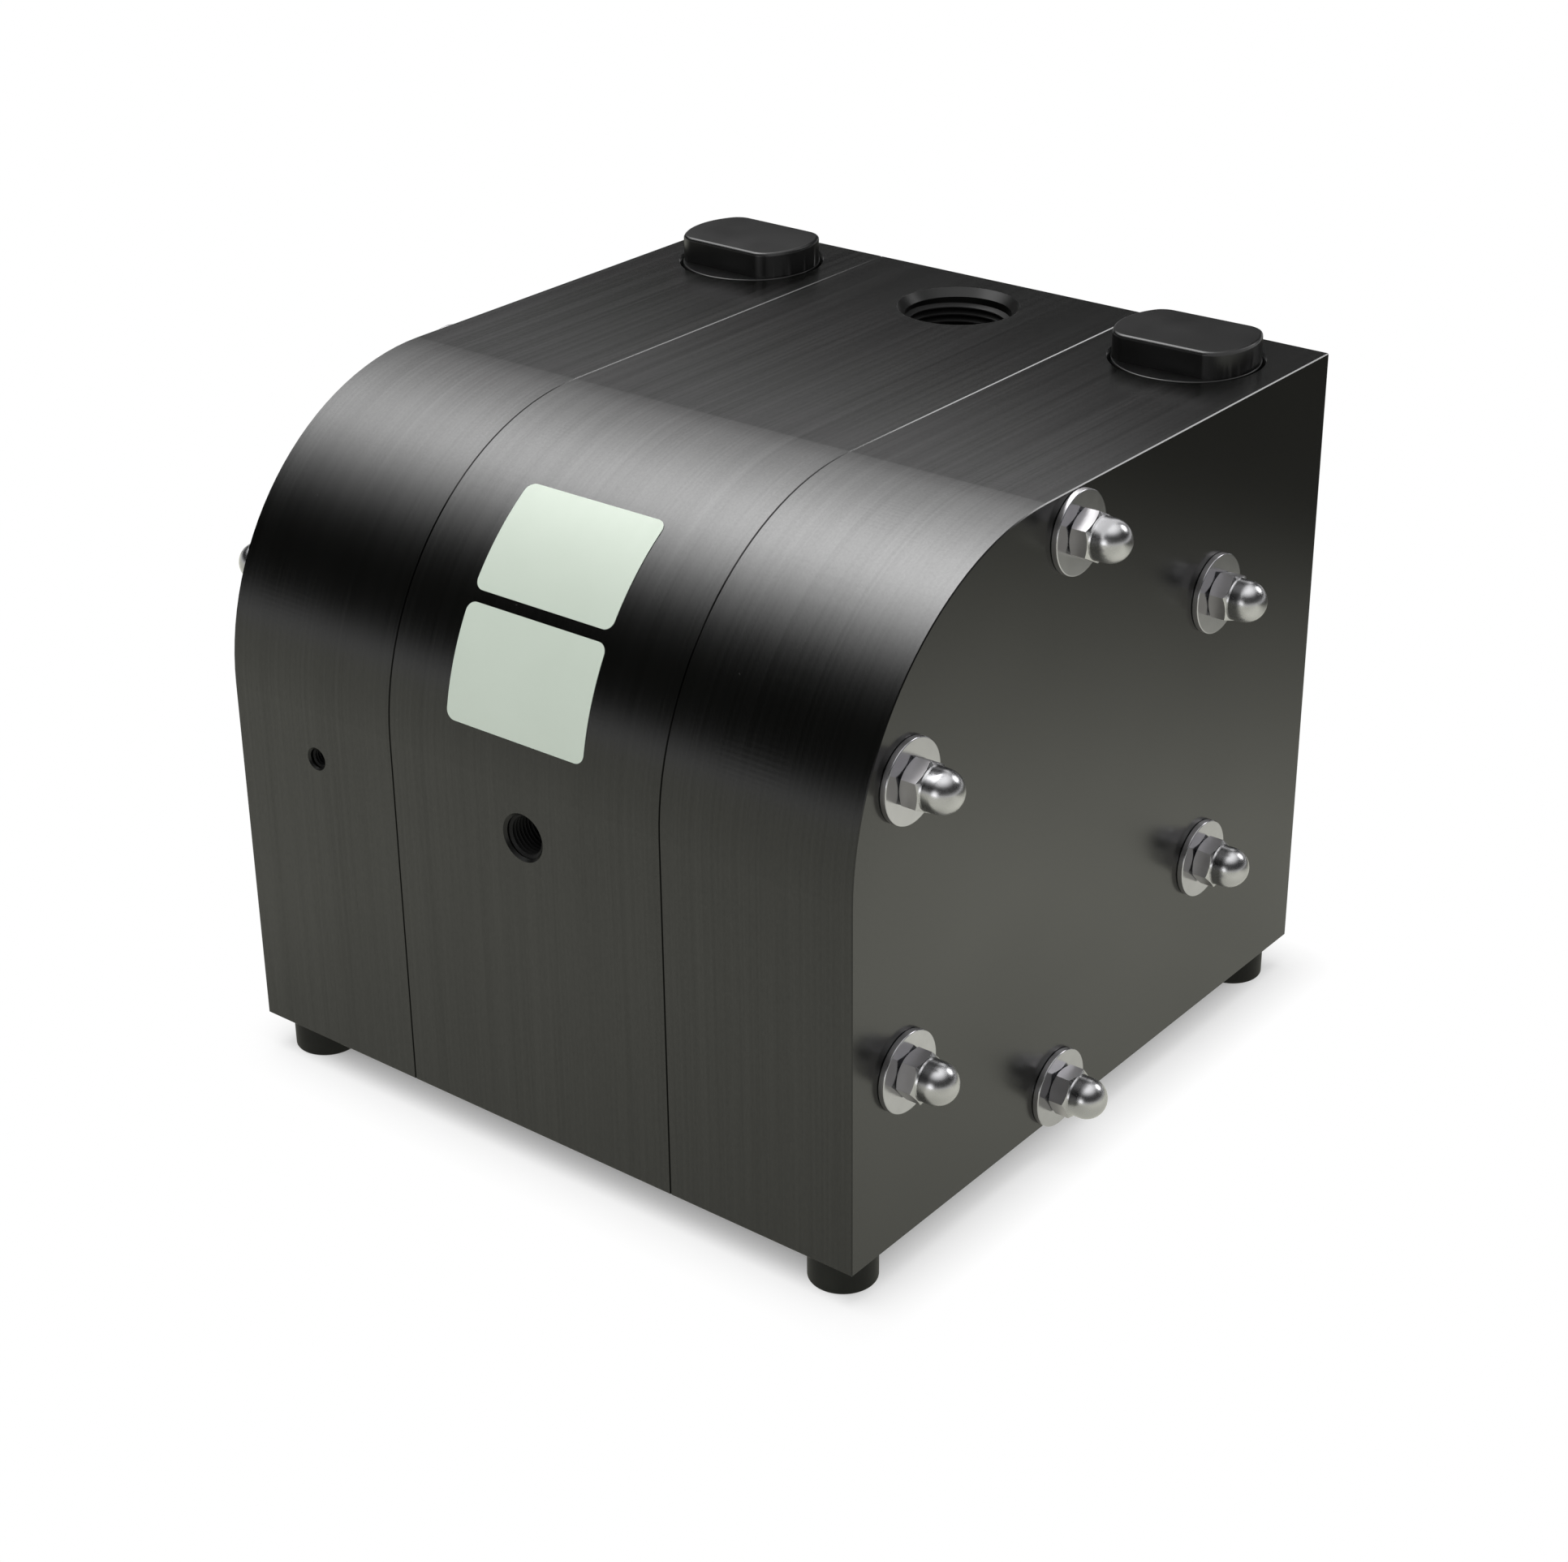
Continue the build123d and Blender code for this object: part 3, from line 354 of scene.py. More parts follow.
# %% [markdown]
# The light itself comes from a large lamp above and in front, which no shiny surface sees. It gives
# every colour at about its written value and leaves only a soft shadow.

# %% Lamp
lamp_place = Vector((-0.15, -0.35, 1.6))
lamp_target = Vector((0, 0, 0.1))
lamp_data = bpy.data.lights.new("lamp", "AREA")
lamp_data.size = 1.4
lamp_data.energy = 20
lamp = bpy.data.objects.new("lamp", lamp_data)
lamp.location = lamp_place
lamp.rotation_euler = (lamp_target - lamp_place).to_track_quat("-Z", "Y").to_euler()
lamp.visible_glossy = False
lamp.visible_transmission = False
bpy.context.scene.collection.objects.link(lamp)
print("lamp", round((lamp_target - lamp_place).length, 2), "from the pump")

# %% [markdown]
# Behind the pump hangs a black flag, as photographers use it. Only shiny surfaces see it. The flat top
# mirrors the room just over the flag at its front and the flag itself at its rear, so the top darkens
# evenly from front to rear. A pale card hangs just above the top's right edge. It hides the light bar
# from the uppermost nut, whose polished steel would burn out without it.

# %% Flag and card
flag_middle = (-0.345, 0.24, 0.305)
flag_size = (0.81, 0.17)
flag_clear_from = 0.2965
card_middle = (end_x + 0.4 * millimetre, -0.015, top_z + 0.154)
card_size = (0.27, 0.30)
card_clear_from = 0.45


def sheet(name, middle, size, turn, glow, clear_from):
    """Upright sheet that turns clear towards its upper edge, and is seen only by shiny surfaces."""
    bpy.ops.mesh.primitive_plane_add(size=1)
    made = bpy.context.object
    made.name = name
    upright = Matrix.Rotation(math.radians(turn), 4, "Z") @ Matrix.Rotation(math.radians(90), 4, "X")
    made.data.transform(Matrix.Translation(middle) @ upright @ Matrix.Diagonal((*size, 1, 1)))
    finish = Finish(name)
    height = finish.axes("Object")[2]
    clear = finish.spread(height, clear_from, middle[2] + size[1] / 2)
    hole = finish.node("ShaderNodeBsdfTransparent", sockets={"Color": grey(1.0)})
    made.data.materials.append(finish.output(finish.mix(clear, finish.emission(grey(glow)), hole)))
    made.visible_camera = False
    made.visible_diffuse = False
    made.visible_shadow = False


sheet("flag", flag_middle, flag_size, 0, 0.08, flag_clear_from)
sheet("card", card_middle, card_size, 90, 1.3, card_clear_from)
print("flag behind the pump, card above its right edge")

# %% [markdown]
# The table is one plain pale sheet. It is a stage object, so it doesn't count as part of the pump.
# Round the pump it takes light and shadow, and a little further out it fades into the white
# background. Shiny surfaces see a painted glow instead of the lit table: bright near the pump,
# slightly warm, with a painted shadow beside the block, a little darker towards the front, and dark
# further behind.

# %% Table
table_radius = 3.0
table_grey = 0.95
table_tint = (1, 1, 0.88)
# The lit table fades to plain white, from a line under the block to one just outside it.
fade_starts_under = 22 * millimetre
fade_ends_outside = 15.4 * millimetre
# Each fade has two places, and the brightness at both.
fade_to_rear = (0.11, 0.47, 1.10, 0.1)
fade_to_front = (0.0, -0.20, 1.0, 0.82)
# Beside the block the glow is darkened as a painted shadow of the block on the table.
painted_shadow_at_block = (0.10, 0.0, 1.0, 0.68)


def table():
    """Round table top, whose shadow stays close to the block."""
    bpy.ops.mesh.primitive_circle_add(vertices=96, radius=table_radius, fill_type="NGON")
    top = bpy.context.object
    top.name = "table"
    finish = Finish("table")
    x, y, z = finish.axes("Object")
    beyond_x = (x.size() - end_x).at_least(0)
    beyond_y = (y.size() - rear_y).at_least(0)
    beyond = (beyond_x * beyond_x + beyond_y * beyond_y) ** 0.5
    under = (end_x - x.size()).at_most(rear_y - y.size()).at_least(0)
    lit = finish.node("ShaderNodeBsdfDiffuse", sockets={"Color": grey(table_grey)})
    faded = finish.spread(beyond - under, -fade_starts_under, fade_ends_outside)
    for_camera = finish.mix(finish.ray("Is Camera Ray") * faded, lit, finish.emission(grey(1.0)))
    # Shiny surfaces see a painted glow in place of the lit table, with a painted shadow beside the block.
    painted_glow = finish.spread(y, *fade_to_rear) * finish.spread(beyond, *painted_shadow_at_block)
    painted_glow = painted_glow * finish.spread(y, *fade_to_front)
    tinted = finish.node("ShaderNodeVectorMath", {"operation": "SCALE"}, {0: table_tint, "Scale": painted_glow})
    for_gloss = finish.mix(finish.ray("Is Glossy Ray"), for_camera, finish.emission(tinted))
    top.data.materials.append(finish.output(for_gloss))


table()
print("table is at height 0, under the feet")

# %% [markdown]
# ## Finishes
# The blocks are milled from black conductive plastic. The cutter leaves fine streaks round the
# profile, from the front over the shoulder to the rear, and here and there a faint ripple across
# them. The end faces are smooth. So the streaks are noise stretched along the profile, and a mask
# from the surface normal takes them off the ends.
#
# The bores are cut by other tools and are duller, with no streaks. Their places come first, because
# each bore gets a mask from the distance to its axis.

# %% Places of the threaded bores
top_row_y = 89 * millimetre
low_port_z = 38.5 * millimetre
inlet_z = 109.5 * millimetre
earth_x = -81.5 * millimetre
port_mouth_radius = 19.1 * millimetre
inlet_mouth_radius = 7.45 * millimetre
earth_mouth_radius = 3.65 * millimetre
mouth_edge = 0.02 * millimetre
top_bore_starts = (0.15, 0.16)


def bored_faces(finish, x, y, z):
    """1 on the walls and chamfers of the four threaded bores, and 0 elsewhere."""
    front = finish.spread(y, millimetre, -millimetre)
    rear = finish.spread(y, -millimetre, millimetre)
    masks = []
    for across, up, radius, side in (
        (x, y - top_row_y, port_mouth_radius, finish.spread(z, *top_bore_starts)),
        (x, z - low_port_z, port_mouth_radius, rear),
        (x, z - inlet_z, inlet_mouth_radius, front),
        (x - earth_x, z - inlet_z, earth_mouth_radius, front),
    ):
        away = (across * across + up * up) ** 0.5
        masks.append(finish.spread(away, radius + mouth_edge, radius) * side)
    return sum(masks)


print("ports at y", top_row_y, "and z", low_port_z, "inlet at z", inlet_z)

# %% [markdown]
# A second clear coat on part of the surface changes how strongly it reflects, and so it draws the
# streaks both in the light band and in the dark. Metallic does the opposite: a metal of this
# near-black colour reflects almost nothing, so it paints shade into the bores and draws the two seams
# as dark lines. It does so only on the front, the rear and the shoulder, because on the flat top their
# edges catch the light.

# %% Milled plastic of the blocks
streak_scale = (950, 7, 7)
band_scale = (210, 4, 4)
ripple_pitch = 0.9 * millimetre
ripple_places = (22, 9, 9)
seam_line_edge = (0.35 * millimetre, 0.21 * millimetre)
seam_line_end = (0.193, 0.187)


def milled_plastic(name):
    """Near-black satin plastic with cutter streaks along the profile."""
    finish = Finish(name)
    x, y, z = finish.axes("Object")
    bored = bored_faces(finish, x, y, z)
    end_face = finish.spread(finish.axes("Normal")[0].size(), 0.3, 0.7)
    milled = (1 - end_face) * (1 - bored)
    streaks = finish.noise(streak_scale, detail=3.0) * 0.7 + finish.noise(band_scale) * 0.3
    wave = (y - z) * (2 * math.pi / ripple_pitch)
    ripple = wave.maths("SINE", wave) * finish.spread(finish.noise(ripple_places), 0.45, 0.65)
    grain = finish.noise(1500, detail=3.0)
    dust = finish.spread(finish.noise(520), 0.79, 0.83)
    coat = finish.spread(streaks * 0.6 + grain * 0.4, 0.35, 0.65, 0.0, 0.24)
    from_seam = (x.size() - seam_x).size()
    seam = finish.spread(from_seam, *seam_line_edge) * finish.spread(z, *seam_line_end)
    relief = (streaks + ripple * 0.2) * milled + grain * 0.3
    return finish.surface(
        Base_Color=finish.blend(dust * milled, grey(0.0018, 0.1), grey(0.05)),
        # Metallic paints shade into the bores and draws the seams as dark joints.
        Metallic=seam * 0.9 + bored * 0.3,
        Roughness=0.20 + (streaks - 0.5) * milled * 0.16 + grain * 0.03 + bored * 0.12,
        IOR=1.45,
        Coat_Weight=coat * (1 - seam) * (1 - bored),
        Coat_Roughness=0.22,
        Normal=finish.bump(relief, 0.02 * millimetre, 0.6),
    )


block_plastic = milled_plastic("block_plastic")
print("finish:", block_plastic.name)

# %% [markdown]
# The tap that cut the threads tore the same plastic a little, which leaves it rough. A lower IOR
# takes the rest of the gloss away, because no light reaches far into a real bore.

# %% Tapped plastic of the threads
def torn_plastic(name):
    """Plastic of the blocks, left rough by the tap, with its gloss dimmed as painted shade."""
    finish = Finish(name)
    torn = finish.noise(1800, detail=3.0)
    return finish.surface(
        Base_Color=finish.blend(torn, grey(0.007), grey(0.011)),
        Roughness=0.45 + (torn - 0.5) * 0.1,
        # The low IOR is painted shade: it dims the gloss of the thread deep in its bore.
        IOR=1.2,
        Normal=finish.bump(torn, 0.02 * millimetre, 0.4),
    )


tapped_plastic = torn_plastic("tapped_plastic")
print("finish:", tapped_plastic.name)

# %% [markdown]
# The plugs, the cover of the silencer and the caps of the air valve are turned from another black
# plastic with a closer grain. The rubber of the feet is dull and slightly dusty. The seals inside are
# a plain dark rubber, so both rubbers share one recipe.

# %% Black plastic and rubbers
def turned_plastic(name):
    """Black plastic with a fine closed grain."""
    finish = Finish(name)
    grain = finish.noise(1500, detail=3.0)
    cloud = finish.noise(60)
    return finish.surface(
        Base_Color=finish.blend(cloud, grey(0.002), grey(0.006)),
        Roughness=0.24 + cloud * 0.12,
        Specular_IOR_Level=0.36,
        Normal=finish.bump(grain, 0.02 * millimetre, 0.35),
    )


def rubber(name, dark, pale, roughness):
    """Dull rubber with a fine moulded grain."""
    finish = Finish(name)
    grain = finish.noise(2200, detail=3.0)
    dust = finish.spread(finish.noise(90, detail=4.0), 0.4, 0.75)
    return finish.surface(
        Base_Color=finish.blend(dust, dark, pale),
        Roughness=roughness + grain * 0.1,
        Specular_IOR_Level=0.2,
        Normal=finish.bump(grain, 0.03 * millimetre, 0.5),
    )


black_plastic = turned_plastic("black_plastic")
foot_rubber = rubber("foot_rubber", grey(0.004, 0.1), grey(0.010, 0.15), 0.5)
seal_rubber = rubber("seal_rubber", (0.012, 0.009, 0.008, 1), (0.02, 0.016, 0.014, 1), 0.55)
print("finishes:", black_plastic.name, foot_rubber.name, seal_rubber.name)

# %% [markdown]
# The nuts and washers are stainless steel. The domes are polished, the washers have a satin face, and
# the flats of the nuts and the rims of the washers are duller drawn metal. The rod's bushes and the
# sleeve of the air valve are bronze. All carry fine scratches, so one recipe takes a colour, a
# roughness, and the depth and the scale of the scratches.

# %% Metals
def metal(name, colour, roughness, scratch_depth, scratch_scale):
    """Metal with cloudy wear and fine scratches."""
    finish = Finish(name)
    wear = finish.noise(220, detail=4.0)
    scratches = finish.noise(scratch_scale, detail=4.0, roughness=0.6)
    darker = tuple(part * 0.82 for part in colour[:3]) + (1,)
    return finish.surface(
        Base_Color=finish.blend(wear, darker, colour),
        Metallic=1.0,
        Roughness=roughness + (wear - 0.5) * 0.12 + (scratches - 0.5) * 0.06,
        Normal=finish.bump(scratches, 0.01 * millimetre, scratch_depth),
    )


polished_steel = metal("polished_steel", (0.44, 0.44, 0.45, 1), 0.27, 0.25, 900)
satin_steel = metal("satin_steel", (0.44, 0.44, 0.46, 1), 0.2, 0.5, 1500)
drawn_steel = metal("drawn_steel", (0.44, 0.43, 0.44, 1), 0.42, 0.5, 1500)
bronze = metal("bronze", (0.55, 0.36, 0.16, 1), 0.3, 0.5, (2500, 60, 60))
print("finishes:", polished_steel.name, satin_steel.name, drawn_steel.name, bronze.name)

# %% [markdown]
# Inside, the balls, seats and membranes are white PTFE, which looks waxy, and the silencer is
# sintered from plastic beads, which leaves small pores. A pattern of round cells gives such beads,
# and the pores between them are darkened as painted shade.

# %% White plastics
def waxy_plastic(name):
    """White PTFE with a soft cloudy gloss."""
    finish = Finish(name)
    cloud = finish.noise(70, detail=3.0)
    grain = finish.noise(1300)
    return finish.surface(
        Base_Color=finish.blend(cloud, (0.80, 0.79, 0.75, 1), (0.88, 0.88, 0.86, 1)),
        Roughness=0.38 + cloud * 0.1,
        Normal=finish.bump(grain, 0.02 * millimetre, 0.3),
    )


def sintered_plastic(name):
    """Beads melted together, with painted shade in the pores between them."""
    finish = Finish(name)
    beads = finish.node("ShaderNodeTexVoronoi", sockets={"Vector": finish.stretched(1400), "Scale": 1.0})
    # The pores between the beads are darkened as painted shade.
    painted_pore_shade = finish.spread(beads, 0.2, 0.8)
    return finish.surface(
        Base_Color=finish.blend(painted_pore_shade, (0.78, 0.77, 0.72, 1), (0.45, 0.44, 0.40, 1)),
        Roughness=0.7 + beads * 0.2,
        Normal=finish.bump(1 - beads, 0.3 * millimetre, 0.8),
    )


white_ptfe = waxy_plastic("white_ptfe")
porous_plastic = sintered_plastic("porous_plastic")
print("finishes:", white_ptfe.name, porous_plastic.name)

# %% [markdown]
# The two bare plates on the shoulder are cut from film. They are pale and slightly green, with a soft
# gloss and a few faint marks of handling, which are noise stretched up the plate.

# %% Pale film of the plates
def pale_film(name):
    """Pale greenish film with a soft gloss."""
    finish = Finish(name)
    cloud = finish.noise(60, detail=3.0)
    rub = finish.noise((700, 60, 60), detail=3.0)
    return finish.surface(
        Base_Color=finish.blend(cloud, (0.45, 0.51, 0.44, 1), (0.48, 0.54, 0.47, 1)),
        Roughness=0.42 + (rub - 0.5) * 0.2,
        Normal=finish.bump(rub, 0.01 * millimetre, 0.3),
    )


plate_film = pale_film("plate_film")
print("finish:", plate_film.name)

# %% [markdown]
# Every node of the frame gets the finish of its material slot in the record, so that also the inner
# pieces look right when the pump is taken apart.

# %% Finishes on the frame's nodes
slot_finishes = {
    "block_plastic": block_plastic,
    "black_plastic": black_plastic,
    "stainless_steel": satin_steel,
    "foot_rubber": foot_rubber,
    "seal_rubber": seal_rubber,
    "white_ptfe": white_ptfe,
    "bronze": bronze,
    "porous_plastic": porous_plastic,
}
for subpart in frame["record"]["subparts"]:
    node = frame["nodes"][subpart["node"]]
    node.data.materials.clear()
    node.data.materials.append(slot_finishes[subpart["material_slot"]])

# %% [markdown]
# ## Small parts that catch the light
# The solids of the frame have plain nuts, washers, plugs and feet. The eye rests on exactly these,
# so each is modelled once more with the rounded edges, chamfers and grooves of the real piece. A
# piece that repeats is modelled once, round the origin with Z along its axis, and then copied.
#
# Modelling by hand means picking faces or edges and moving them. Here they are picked by where their
# middle lies, so that the pick still holds when a size changes.

# %% Picking and leaving
def pick(piece, kind, wanted=lambda middle: True):
    """Edit mode with those vertices, edges or faces picked whose middle is wanted."""
    bpy.context.view_layer.objects.active = piece
    bpy.ops.object.mode_set(mode="EDIT")
    bpy.ops.mesh.select_mode(type=kind)
    bpy.ops.mesh.select_all(action="DESELECT")
    bpy.ops.object.mode_set(mode="OBJECT")
    mesh = piece.data
    for item in {"VERT": mesh.vertices, "EDGE": mesh.edges, "FACE": mesh.polygons}[kind]:
        if kind == "VERT":
            middle = item.co
        else:
            corners = [mesh.vertices[number].co for number in item.vertices]
            middle = sum(corners, Vector()) / len(corners)
        item.select = bool(wanted(middle))
    bpy.ops.object.mode_set(mode="EDIT")


def leave_edit():
    """Back to object mode, with all faces turned outwards."""
    bpy.ops.mesh.select_all(action="SELECT")
    bpy.ops.mesh.normals_make_consistent(inside=False)
    bpy.ops.object.mode_set(mode="OBJECT")


# %% [markdown]
# Machined and moulded pieces have no perfectly sharp edge, and the small rounding is what catches the
# light. A Bevel modifier gives it to all sharp edges at once. The weighted normals after it keep the
# large faces flat between their rounded edges.

# %% Modifiers
smooth_below = math.radians(35)


def apply_modifier(piece, kind, **settings):
    """Add a modifier, set it and apply it."""
    modifier = piece.modifiers.new(kind, kind)
    for name, value in settings.items():
        setattr(modifier, name, value)
    bpy.ops.object.select_all(action="DESELECT")
    bpy.context.view_layer.objects.active = piece
    piece.select_set(True)
    bpy.ops.object.modifier_apply(modifier=modifier.name)


def soften(piece, width, segments, angle=30):
    """Round all sharp edges a little, and shade the rest smoothly."""
    limit = math.radians(angle)
    apply_modifier(piece, "BEVEL", width=width, segments=segments, limit_method="ANGLE", angle_limit=limit)
    bpy.ops.object.shade_smooth_by_angle(angle=smooth_below)
    apply_modifier(piece, "WEIGHTED_NORMAL", keep_sharp=True)


# %% [markdown]
# A finished piece is dressed, copied to its places, and stands in for its node of the frame. Each
# copy has its own mesh with the place in it, because the object itself stays at the origin.

# %% Dressing and copying
def dress(piece, *finishes, second=None):
    """Give a piece its finish, and a second one to the faces whose middle and normal ask for it."""
    piece.data.materials.clear()
    for finish in finishes:
        piece.data.materials.append(finish)
    for face in piece.data.polygons:
        face.material_index = int(bool(second and second(face.center, face.normal)))


def set_copies(master, name, places, node):
    """A copy of the master at each place, with its own mesh, in the place of a node of the frame."""
    for number, place in enumerate(places, 1):
        copy = master.copy()
        copy.data = master.data.copy()
        copy.name = f"{name}_{number:02d}" if len(places) > 1 else name
        copy.data.transform(place)
        bpy.context.scene.collection.objects.link(copy)
        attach(copy, "pump_body")
        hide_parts(node)
    bpy.data.objects.remove(master)
    print(name, "set", len(places), "times")


# %% [markdown]
# Each tie rod carries a washer and a nut at both ends. So the places of both come from one helper,
# which turns a piece so that its Z points outwards, away from the block, and its Y upwards.

# %% Ends of the tie rods
def rod_ends(height):
    """A place at each end of each tie rod, with Z outwards, at a height above the end face."""
    places = []
    for side in (1, -1):
        for number in range(bolt_count):
            angle = math.radians(90 + number * 360 / bolt_count)
            y = rod_axis_y + bolt_circle_radius * math.cos(angle)
            z = rod_axis_z + bolt_circle_radius * math.sin(angle)
            outwards = Matrix(((0, 0, side, 0), (side, 0, 0, 0), (0, 1, 0, 0), (0, 0, 0, 1)))
            places.append(Matrix.Translation((side * (end_x + height), y, z)) @ outwards)
    return places


print("ends of the tie rods:", len(rod_ends(0)))

# %% [markdown]
# The washers are wide M8 washers, stamped from sheet, so their edges are slightly rolled. A disc gets
# its hole by an inset, then it is extruded to its thickness, and its edges are rounded.

# %% Washers
washer_thickness = 2 * millimetre
washer_hole_radius = 4.3 * millimetre
washer_edge = 0.3 * millimetre

bpy.ops.object.select_all(action="DESELECT")
bpy.ops.mesh.primitive_circle_add(vertices=96, radius=washer_radius, fill_type="NGON")
washer = bpy.context.object
pick(washer, "FACE")
bpy.ops.mesh.inset(thickness=washer_radius - washer_hole_radius)
bpy.ops.mesh.delete(type="FACE")
bpy.ops.mesh.select_all(action="SELECT")
bpy.ops.mesh.extrude_region_move(TRANSFORM_OT_translate={"value": (0, 0, washer_thickness)})
leave_edit()
soften(washer, washer_edge, segments=3)
dress(washer, satin_steel, drawn_steel, second=lambda middle, normal: abs(normal.z) < 0.2)
set_copies(washer, "washer", rod_ends(0), "washers")

# %% [markdown]
# The nuts, plugs and feet are round pieces. They start as a cylinder or a disc, grow in steps along
# their axis, and are joined with or cut by another such piece.

# %% Round pieces
def cylinder(name, radius, low, high, vertices=96):
    """Closed upright cylinder between two heights."""
    bpy.ops.object.select_all(action="DESELECT")
    bpy.ops.mesh.primitive_cylinder_add(
        vertices=vertices, radius=radius, depth=high - low, location=(0, 0, (low + high) / 2)
    )
    bpy.ops.object.transform_apply(location=True, rotation=False, scale=False)
    piece = bpy.context.object
    piece.name = name
    return piece


def rise(height, grow=1.0):
    """Extrude the picked face upwards and then widen or narrow it round the axis."""
    bpy.ops.mesh.extrude_region_move(TRANSFORM_OT_translate={"value": (0, 0, height)})
    bpy.ops.transform.resize(value=(grow, grow, 1), center_override=(0, 0, 0))


def combine(piece, tool, operation):
    """Join a piece with a tool, cut the tool out of it, or keep what both share."""
    apply_modifier(piece, "BOOLEAN", operation=operation, object=tool, solver="EXACT")
    bpy.data.objects.remove(tool)


# %% [markdown]
# The domed nuts have 13 mm across flats. The hexagon is turned to a cone at both ends, which leaves
# a curved arc at the end of each flat. So a hexagonal bar is cut to what it shares with a turned
# blank.

# %% Hexagon of the domed nuts
nut_across_flats = 13 * millimetre
nut_hex_height = 6.0 * millimetre
nut_face_radius = 6.1 * millimetre
nut_corner_radius = nut_across_flats / math.sqrt(3)
blank_radius = nut_corner_radius * 1.01
blank_cone = (blank_radius - nut_face_radius) * math.tan(math.radians(30))

nut = cylinder("nut", nut_corner_radius, 0, nut_hex_height, vertices=6)
nut.data.transform(Matrix.Rotation(math.radians(30), 4, "Z"))
blank = cylinder("blank", blank_radius, blank_cone, nut_hex_height - blank_cone)
pick(blank, "FACE", lambda middle: middle.z > nut_hex_height - blank_cone * 1.01)
rise(blank_cone, nut_face_radius / blank_radius)
leave_edit()
pick(blank, "FACE", lambda middle: middle.z < blank_cone * 1.01)
rise(-blank_cone, nut_face_radius / blank_radius)
leave_edit()
combine(nut, blank, "INTERSECT")
print("hexagon:", round(nut_corner_radius * 2, 5), "across its corners")

# %% [markdown]
# The dome is a half ball on a short neck. The neck widens a little where it meets the hexagon, as a
# turning tool leaves it, and reaches into it, so that both join well. The bore for the rod's thread
# comes last.

# %% Dome of the domed nuts
nut_height = 15 * millimetre
dome_radius = 6.15 * millimetre
dome_centre = nut_height - dome_radius
neck_flare_height = 1.0 * millimetre
neck_flare = 1.035
nut_bore_radius = 4.05 * millimetre
nut_bore_depth = 11 * millimetre
nut_edge = 0.12 * millimetre

bpy.ops.object.select_all(action="DESELECT")
bpy.ops.mesh.primitive_uv_sphere_add(
    segments=72, ring_count=36, radius=dome_radius, location=(0, 0, dome_centre)
)
bpy.ops.object.transform_apply(location=True, rotation=False, scale=False)
dome = bpy.context.object
pick(dome, "FACE")
bpy.ops.mesh.bisect(plane_co=(0, 0, dome_centre), plane_no=(0, 0, 1), use_fill=True, clear_inner=True)
leave_edit()
pick(dome, "FACE", lambda middle: middle.z < dome_centre + 0.01 * millimetre)
rise(nut_hex_height - dome_centre + neck_flare_height / 2)
rise(-neck_flare_height, neck_flare)
leave_edit()
combine(nut, dome, "UNION")
combine(nut, cylinder("bore", nut_bore_radius, -millimetre, nut_bore_depth, vertices=48), "DIFFERENCE")
soften(nut, nut_edge, segments=2, angle=12)
print("nut:", len(nut.data.polygons), "faces")

# %% [markdown]
# The flats keep the duller look of drawn bar, and all the rest is polished. Every nut stops at its own
# angle when it is tightened, so each of the six has its turn, as the photograph shows it.

# %% Domed nuts in place
nut_turns = (31, 32, 10, 1, 14, 42)


def on_a_flat(middle, normal):
    """Whether a face of the nut belongs to a flat of the hexagon."""
    return middle.z < nut_hex_height and middle.xy.length > dome_radius and abs(normal.z) < 0.1


dress(nut, polished_steel, drawn_steel, second=on_a_flat)
nut_places = [
    place @ Matrix.Rotation(math.radians(nut_turns[number % bolt_count]), 4, "Z")
    for number, place in enumerate(rod_ends(washer_thickness))
]
set_copies(nut, "domed_nut", nut_places, "dome_nuts")

# %% [markdown]
# The two plugs close the valve columns. Each has a round body sunk in the block, with a groove for
# its O-ring. It is built step by step upwards from a disc, in at the groove and out again.

# %% Body of the column plugs
plug_body_radius = 22.25 * millimetre
plug_body_height = 15.5 * millimetre
plug_body_edge = 0.4 * millimetre
plug_groove_start = 2.0 * millimetre
plug_groove_width = 3.0 * millimetre
plug_groove_depth = 1.9 * millimetre
plug_groove_narrowing = 1 - plug_groove_depth / plug_body_radius


def disc(name, radius, height):
    """Flat round face at a height."""
    bpy.ops.object.select_all(action="DESELECT")
    bpy.ops.mesh.primitive_circle_add(
        vertices=128, radius=radius, fill_type="NGON", location=(0, 0, height)
    )
    bpy.ops.object.transform_apply(location=True, rotation=False, scale=False)
    bpy.context.object.name = name
    return bpy.context.object


plug = disc("plug", plug_body_radius, -plug_body_height)
pick(plug, "FACE")
rise(plug_groove_start)
rise(0, plug_groove_narrowing)
rise(plug_groove_width)
rise(0, 1 / plug_groove_narrowing)
rise(plug_body_height - (plug_groove_start + plug_groove_width))
leave_edit()
pick(plug, "EDGE", lambda middle: middle.z > -0.01 * millimetre)
bpy.ops.mesh.bevel(offset=plug_body_edge, segments=3, affect="EDGES")
leave_edit()
print("plug's body:", round(plug_body_height, 4), "high")

# %% [markdown]
# The head of a plug has two flats for a spanner. It is a disc cut along both flats. Its corners
# become round once the short edges next to them are gone, because the rounding needs that length.

# %% Head of the column plugs
plug_head_radius = 22.0 * millimetre
plug_half_flats = 15 * millimetre
plug_head_height = 8.2 * millimetre
plug_head_sunk = 1.0 * millimetre
plug_head_edge = 1.1 * millimetre
plug_corner = 3 * millimetre
corner = Vector((math.sqrt(plug_head_radius**2 - plug_half_flats**2), plug_half_flats))
at_the_corner = 0.05 * millimetre


def from_corner(middle):
    """Distance of a point from the nearest corner of the head's outline."""
    return (Vector((abs(middle.x), abs(middle.y))) - corner).length


